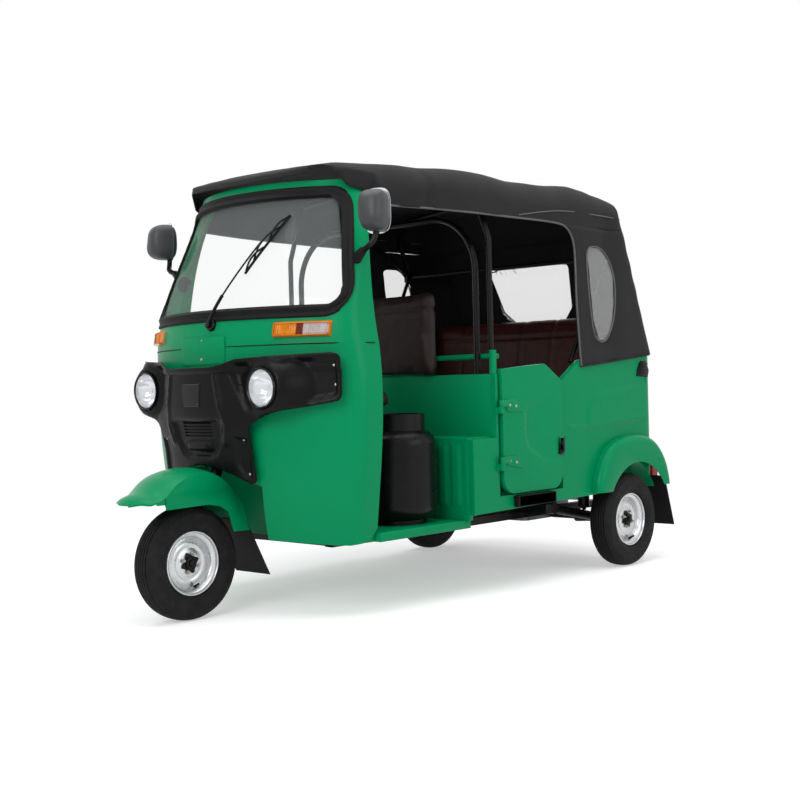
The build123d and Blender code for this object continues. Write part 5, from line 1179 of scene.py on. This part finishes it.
# ---------------------------------------------------------------- small pieces on the body
def screw(bm, place, way, radius=0.0058, proud=0.0024):
    """Domed screw head with a washer standing on a face."""
    place, way = Vector(place), Vector(way).normalized()
    add_drum(bm, place - way * 0.001, place + way * proud * 0.45, radius, 20, bevel=0.0004)
    add_drum(bm, place, place + way * proud, radius * 0.45, 20, low_radius=radius * 0.8, bevel=0.0003)


# seam between the cowl and the windscreen frame
for side, name in ((1, "left"), (-1, "right")):
    wire(f"cowl_seam_{name}", [round_front(side * a, 0.985, 0.0016) for a in (0.0, 0.12, 0.24, 0.36, 0.48, 0.58,
                                                            0.66, 0.72)],
         0.0022, "black_rubber", BODY, resolution=8)

# cover plate with its two screws
bm = bmesh.new()
bmesh.ops.create_grid(bm, x_segments=32, y_segments=14, size=1)
for vert in bm.verts:
    u, v = vert.co.x, vert.co.y
    edge = min(0.126 * (1 - abs(u)), 0.053 * (1 - abs(v)))
    height = 0.0040 * smooth_step(-0.0005, 0.004, edge) - (0.0035 if edge < 0.0001 else 0)
    vert.co = round_front(0.126 * u, 0.972 + 0.053 * v, height)
to_piece(bm, "cover_plate_panel", "green_paint", BODY, (), 30)
bm = bmesh.new()
for height in (0.942, 1.012):
    screw(bm, round_front(0, height, 0.0040), (1, 0, 0), 0.0062, 0.003)
to_piece(bm, "cover_plate_screws", "zinc_plate", BODY)

# blank badge plaque, screws and side screws of the nose moulding
bm = bmesh.new()
bmesh.ops.create_grid(bm, x_segments=36, y_segments=30, size=1)
for vert in bm.verts:
    u, v = vert.co.x, vert.co.y
    half = 0.056 - 0.004 * (1 - v)
    edge = min(half * (1 - abs(u)), 0.044 * (1 - abs(v)))
    frame_rise = 0.0042 * smooth_step(0, 0.002, edge) - 0.0026 * smooth_step(0.004, 0.006, edge)
    vert.co = on_nose(half * u, 0.812 + 0.044 * v, frame_rise if edge > 0.0001 else -0.002)
to_piece(bm, "nose_plaque", "gloss_plastic", BODY, (), 30)
bm = bmesh.new()
for sign in (1, -1):
    for y, z in ((0.536, 0.906), (0.536, 0.838), (0.222, 0.650), (0.226, 0.526)):
        spot = on_nose(sign * y, z)
        screw(bm, spot, Vector((spot.x - NOSE_CENTRE_X, spot.y, 0)), 0.0046, 0.0028)
to_piece(bm, "nose_screws", "zinc_plate", BODY)

# door hinges, latch, air vent and steps, on both sides
HINGE_PLATES = [[(0.002, 0.763), (-0.015, 0.715), (-0.111, 0.712), (-0.074, 0.761), (-0.042, 0.769)],
                [(0.011, 0.541), (-0.006, 0.504), (-0.109, 0.486), (-0.065, 0.536)]]
LATCH = [(-0.463, 0.596), (-0.423, 0.598), (-0.420, 0.527), (-0.453, 0.525)]
VENT = [(-1.078, 0.912), (-1.120, 0.912), (-1.144, 0.870), (-1.134, 0.838), (-1.041, 0.844), (-1.051, 0.880)]


def side_plate(bm, outline, low_y, high_y, side, bevel=0.0015):
    """Flat plate with a side view outline, standing out from a side."""
    made = bmesh.new()
    face = bmesh.ops.contextual_create(made, geom=[made.verts.new((x, side * low_y, z)) for x, z in outline])["faces"]
    risen = bmesh.ops.extrude_face_region(made, geom=face)
    bmesh.ops.translate(made, vec=(0, side * (high_y - low_y), 0),
                        verts=[g for g in risen["geom"] if isinstance(g, bmesh.types.BMVert)])
    bmesh.ops.recalc_face_normals(made, faces=made.faces)
    bmesh.ops.bevel(made, geom=[e for e in made.edges if e.calc_face_angle(0) > 0.5], offset=bevel, segments=2,
                    affect="EDGES", profile=0.5, material=-1)
    mesh = bpy.data.meshes.new("plate")
    made.to_mesh(mesh)
    made.free()
    bm.from_mesh(mesh)
    bpy.data.meshes.remove(mesh)


for side, name in ((1, "left"), (-1, "right")):
    door = f"passenger_door_{name}"
    bm = bmesh.new()
    for outline in HINGE_PLATES:
        side_plate(bm, [(x, z) for x, z in outline if x < 0.02], DOOR_FACE_Y + 0.0002, DOOR_FACE_Y + 0.004, side)
    bmesh.ops.translate(bm, vec=(-0.055, 0, 0), verts=bm.verts)
    to_piece(bm, f"door_hinge_plates_{name}", "green_paint", door)
    bm = bmesh.new()
    for x, z in ((-0.085, 0.740), (-0.125, 0.735), (-0.080, 0.520), (-0.120, 0.512)):
        screw(bm, (x, side * (DOOR_FACE_Y + 0.004), z), (0, side, 0), 0.0060, 0.003)
    to_piece(bm, f"door_hinge_screws_{name}", "zinc_plate", door)
    bm = bmesh.new()
    side_plate(bm, [(x + 0.010, z) for x, z in LATCH], DOOR_FACE_Y - 0.001, DOOR_FACE_Y + 0.008, side, 0.003)
    add_drum(bm, (-0.428, side * DOOR_FACE_Y, 0.572), (-0.428, side * (DOOR_FACE_Y + 0.016), 0.572), 0.011, 28,
             bevel=0.002)
    add_block(bm, (-0.434, side * DOOR_FACE_Y + (0.012 if side > 0 else -0.018), 0.536),
              (-0.422, side * DOOR_FACE_Y + (0.018 if side > 0 else -0.012), 0.575), 0.002)
    to_piece(bm, f"door_latch_{name}", "black_paint", door)
    bm = bmesh.new()
    side_plate(bm, VENT, SIDE_Y - 0.001, SIDE_Y + 0.006, side, 0.003)
    for index in range(4):
        z = 0.855 + 0.014 * index
        add_block(bm, (-1.128, side * SIDE_Y + (0.004 if side > 0 else -0.010), z),
                  (-1.062, side * SIDE_Y + (0.010 if side > 0 else -0.004), z + 0.006), 0.0015)
    to_piece(bm, f"air_vent_{name}", "moulded_plastic", BODY)

step_low, step_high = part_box("steps")
bm = bmesh.new()
for side in (1, -1):
    inner, outer = 0.552, step_high.y
    lows, highs = sorted((side * inner, side * outer))
    add_block(bm, (step_low.x, lows, step_high.z - 0.012), (step_high.x, highs, step_high.z), 0.003)
    add_block(bm, (step_low.x, side * outer - (0.010 if side > 0 else 0), step_low.z),
              (step_high.x, side * outer + (0 if side > 0 else 0.010), step_high.z - 0.004), 0.003)
    for place in spaced(step_low.x + 0.006, step_high.x - 0.006, 0.013):
        add_block(bm, (place - 0.0025, lows + 0.004, step_high.z - 0.001), (place + 0.0025, highs - 0.004,
                                                            step_high.z + 0.0022),
                  0.0008, 1)
to_piece(bm, "step_treads", "black_rubber", BODY)

# gas cylinder: a weld ring round its body
gas_low, gas_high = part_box("gas_cylinder")
gas_middle, gas_radius = (gas_low + gas_high) / 2, (gas_high.x - gas_low.x) / 2
bm = turned([(gas_radius - 0.004, 0.0), (gas_radius + 0.0008, 0.002), (gas_radius + 0.0008, 0.010),
             (gas_radius - 0.004, 0.012)],
            Vector((gas_middle.x, gas_middle.y, gas_low.z + 0.25)), steps=72, axis=(0, 0, 1))
to_piece(bm, "gas_cylinder_weld", "black_paint", BODY, flat_above=40)

# tail lamps: two dark bars across each lamp; number plate screws
tail_low, tail_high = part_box("tail_lamps")
bm = bmesh.new()
for side in (1, -1):
    y_low, y_high = (0.478, 0.562) if side > 0 else (-0.562, -0.478)
    for index, share in enumerate((0.36, 0.68)):
        z = tail_low.z + (tail_high.z - tail_low.z) * share
        add_block(bm, (tail_low.x - 0.001, y_low + 0.004, z - 0.0016), (tail_low.x + 0.006, y_high - 0.004,
                                                            z + 0.0016), 0.0006, 1)
to_piece(bm, "tail_lamp_bars", "gloss_plastic", BODY)
plate_low, plate_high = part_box("number_plate")
bm = bmesh.new()
for sign in (1, -1):
    screw(bm, (plate_low.x, sign * 0.105, (plate_low.z + plate_high.z) / 2 + 0.03), (-1, 0, 0), 0.006, 0.003)
to_piece(bm, "number_plate_screws", "zinc_plate", BODY)

# ---------------------------------------------------------------- camera, stage and light
camera = bpy.data.objects.new("camera", bpy.data.cameras.new("camera"))
bpy.context.scene.collection.objects.link(camera)
yaw, pitch, roll = (math.radians(a) for a in (222.5248, 0.6886, -1.4712))
forward = Vector((math.cos(yaw) * math.cos(pitch), math.sin(yaw) * math.cos(pitch), -math.sin(pitch)))
level_right = Vector((math.sin(yaw), -math.cos(yaw), 0))
level_up = level_right.cross(forward)
right = level_right * math.cos(roll) + level_up * math.sin(roll)
up = level_up * math.cos(roll) - level_right * math.sin(roll)
turn = Matrix((right, up, -forward)).transposed().to_4x4()
camera.matrix_world = Matrix.Translation((FRONT_AXLE.x + 2.8534, 3.6892, 0.8320)) @ turn
camera.data.sensor_width = 36
camera.data.lens = 36 * 1269.08 / 800
bpy.context.scene.camera = camera


def seen_directly(tree):
    """Light Path output that is 1 for the camera and for what mirrors and glass show."""
    path = tree.nodes.new("ShaderNodeLightPath")
    total = path.outputs["Is Camera Ray"]
    for kind in ("Is Glossy Ray", "Is Transmission Ray"):
        both = tree.nodes.new("ShaderNodeMath")
        both.operation = "MAXIMUM"
        tree.links.new(total, both.inputs[0])
        tree.links.new(path.outputs[kind], both.inputs[1])
        total = both.outputs[0]
    return total


def mixed(tree, share, plain, shown):
    """Mix of two shaders."""
    mix = tree.nodes.new("ShaderNodeMixShader")
    tree.links.new(share, mix.inputs[0])
    tree.links.new(plain, mix.inputs[1])
    tree.links.new(shown, mix.inputs[2])
    return mix.outputs[0]


def glow(tree, strength):
    """Plain white light from a surface."""
    made = tree.nodes.new("ShaderNodeEmission")
    made.inputs["Strength"].default_value = strength
    return made.outputs[0]


floor_material = bpy.data.materials.new("studio_floor")
floor_material.use_nodes = True
tree = floor_material.node_tree
tree.nodes.remove(tree.nodes["Principled BSDF"])
matt = tree.nodes.new("ShaderNodeBsdfDiffuse")
matt.inputs["Color"].default_value = (0.80, 0.80, 0.80, 1)
near = tree.nodes.new("ShaderNodeAddShader")
tree.links.new(matt.outputs[0], near.inputs[0])
tree.links.new(glow(tree, FLOOR_GLOW), near.inputs[1])
place = tree.nodes.new("ShaderNodeNewGeometry")
reach = tree.nodes.new("ShaderNodeVectorMath")
reach.operation = "LENGTH"
tree.links.new(place.outputs["Position"], reach.inputs[0])
fade = tree.nodes.new("ShaderNodeMapRange")
fade.interpolation_type = "SMOOTHSTEP"
fade.inputs["From Min"].default_value, fade.inputs["From Max"].default_value = 1.6, 4.2
tree.links.new(reach.outputs["Value"], fade.inputs["Value"])
pale = mixed(tree, fade.outputs["Result"], near.outputs[0], glow(tree, 1.0))
tree.links.new(mixed(tree, seen_directly(tree), matt.outputs[0], pale),
               tree.nodes["Material Output"].inputs["Surface"])
bm = bmesh.new()
bmesh.ops.create_grid(bm, x_segments=4, y_segments=4, size=40)
mesh = bpy.data.meshes.new("studio_floor")
bm.to_mesh(mesh)
bm.free()
mesh.materials.append(floor_material)
floor = bpy.data.objects.new("studio_floor", mesh)
bpy.context.scene.collection.objects.link(floor)

world = bpy.data.worlds.new("studio")
bpy.context.scene.world = world
world.use_nodes = True
tree = world.node_tree
lit = tree.nodes["Background"]
lit.inputs["Color"].default_value = (1, 1, 1, 1)
lit.inputs["Strength"].default_value = WORLD_LIGHT
shown = tree.nodes.new("ShaderNodeBackground")
shown.inputs["Color"].default_value = (1, 1, 1, 1)
tree.links.new(mixed(tree, seen_directly(tree), lit.outputs[0], shown.outputs[0]),
               tree.nodes["World Output"].inputs["Surface"])


def soft_box(name, place, size, watts, target=(0, 0, 0.8)):
    """Large soft lamp aimed at the vehicle."""
    lamp = bpy.data.lights.new(name, "AREA")
    lamp.shape, lamp.size, lamp.size_y, lamp.energy = "RECTANGLE", size[0], size[1], watts
    made = bpy.data.objects.new(name, lamp)
    bpy.context.scene.collection.objects.link(made)
    made.location = place
    made.rotation_mode = "QUATERNION"
    made.rotation_quaternion = (Vector(place) - Vector(target)).to_track_quat("Z", "Y")


soft_box("overhead", (0.5, 0.5, 5.0), (6, 4), 190)
soft_box("key", (5.5, 2.0, 3.2), (3, 3), 130)
soft_box("side_fill", (-1.0, 6.0, 2.4), (4, 3), 80)
soft_box("rear_rim", (-5.0, -3.0, 3.5), (3, 3), 60)

# ---------------------------------------------------------------- carried-over nodes
NODE_FINISHES = {
    "windshield": "windscreen_glass", "windshield_gasket": "black_rubber", "wiper": "black_paint",
    "turn_signals": "amber_lens", "dash_panel": "moulded_plastic", "rear_mudflaps": "black_rubber",
    "steps": "black_rubber", "tail_lamps": "red_lens", "rear_bumper": "black_paint", "number_plate": "plate_white",
    "body_hinges": "green_paint", "hood_hoops": "black_paint", "pillar_hoop": "black_paint",
    "partition_hoop": "black_paint", "driver_seat_base": "black_paint", "gas_cylinder": "black_paint",
    "mirrors": "mirror_plastic", "brake_pedal": "black_paint", "chassis": "black_paint", "engine": "engine_metal",
    "silencer": "black_paint", "trailing_arms": "black_paint", "rear_shocks": "black_paint", "front_fork": "black_paint",
    "front_shock": "black_paint", "front_mudflap": "black_rubber", "handlebar": "black_paint",
    "handlebar_grips": "black_rubber", "canopy_roof": "canopy_cloth", "canopy_sides": "canopy_cloth",
    "canopy_rear": "canopy_cloth", "driver_seat_cushion": "brown_vinyl", "driver_seat_back": "brown_vinyl",
    "rear_seat_cushion": "maroon_vinyl", "rear_seat_back": "maroon_vinyl",
}
for name, node in nodes.items():
    if name in NODE_FINISHES:
        node.data.materials.clear()
        node.data.materials.append(finishes[NODE_FINISHES[name]].material)

bpy.context.scene.view_settings.view_transform = "Standard"
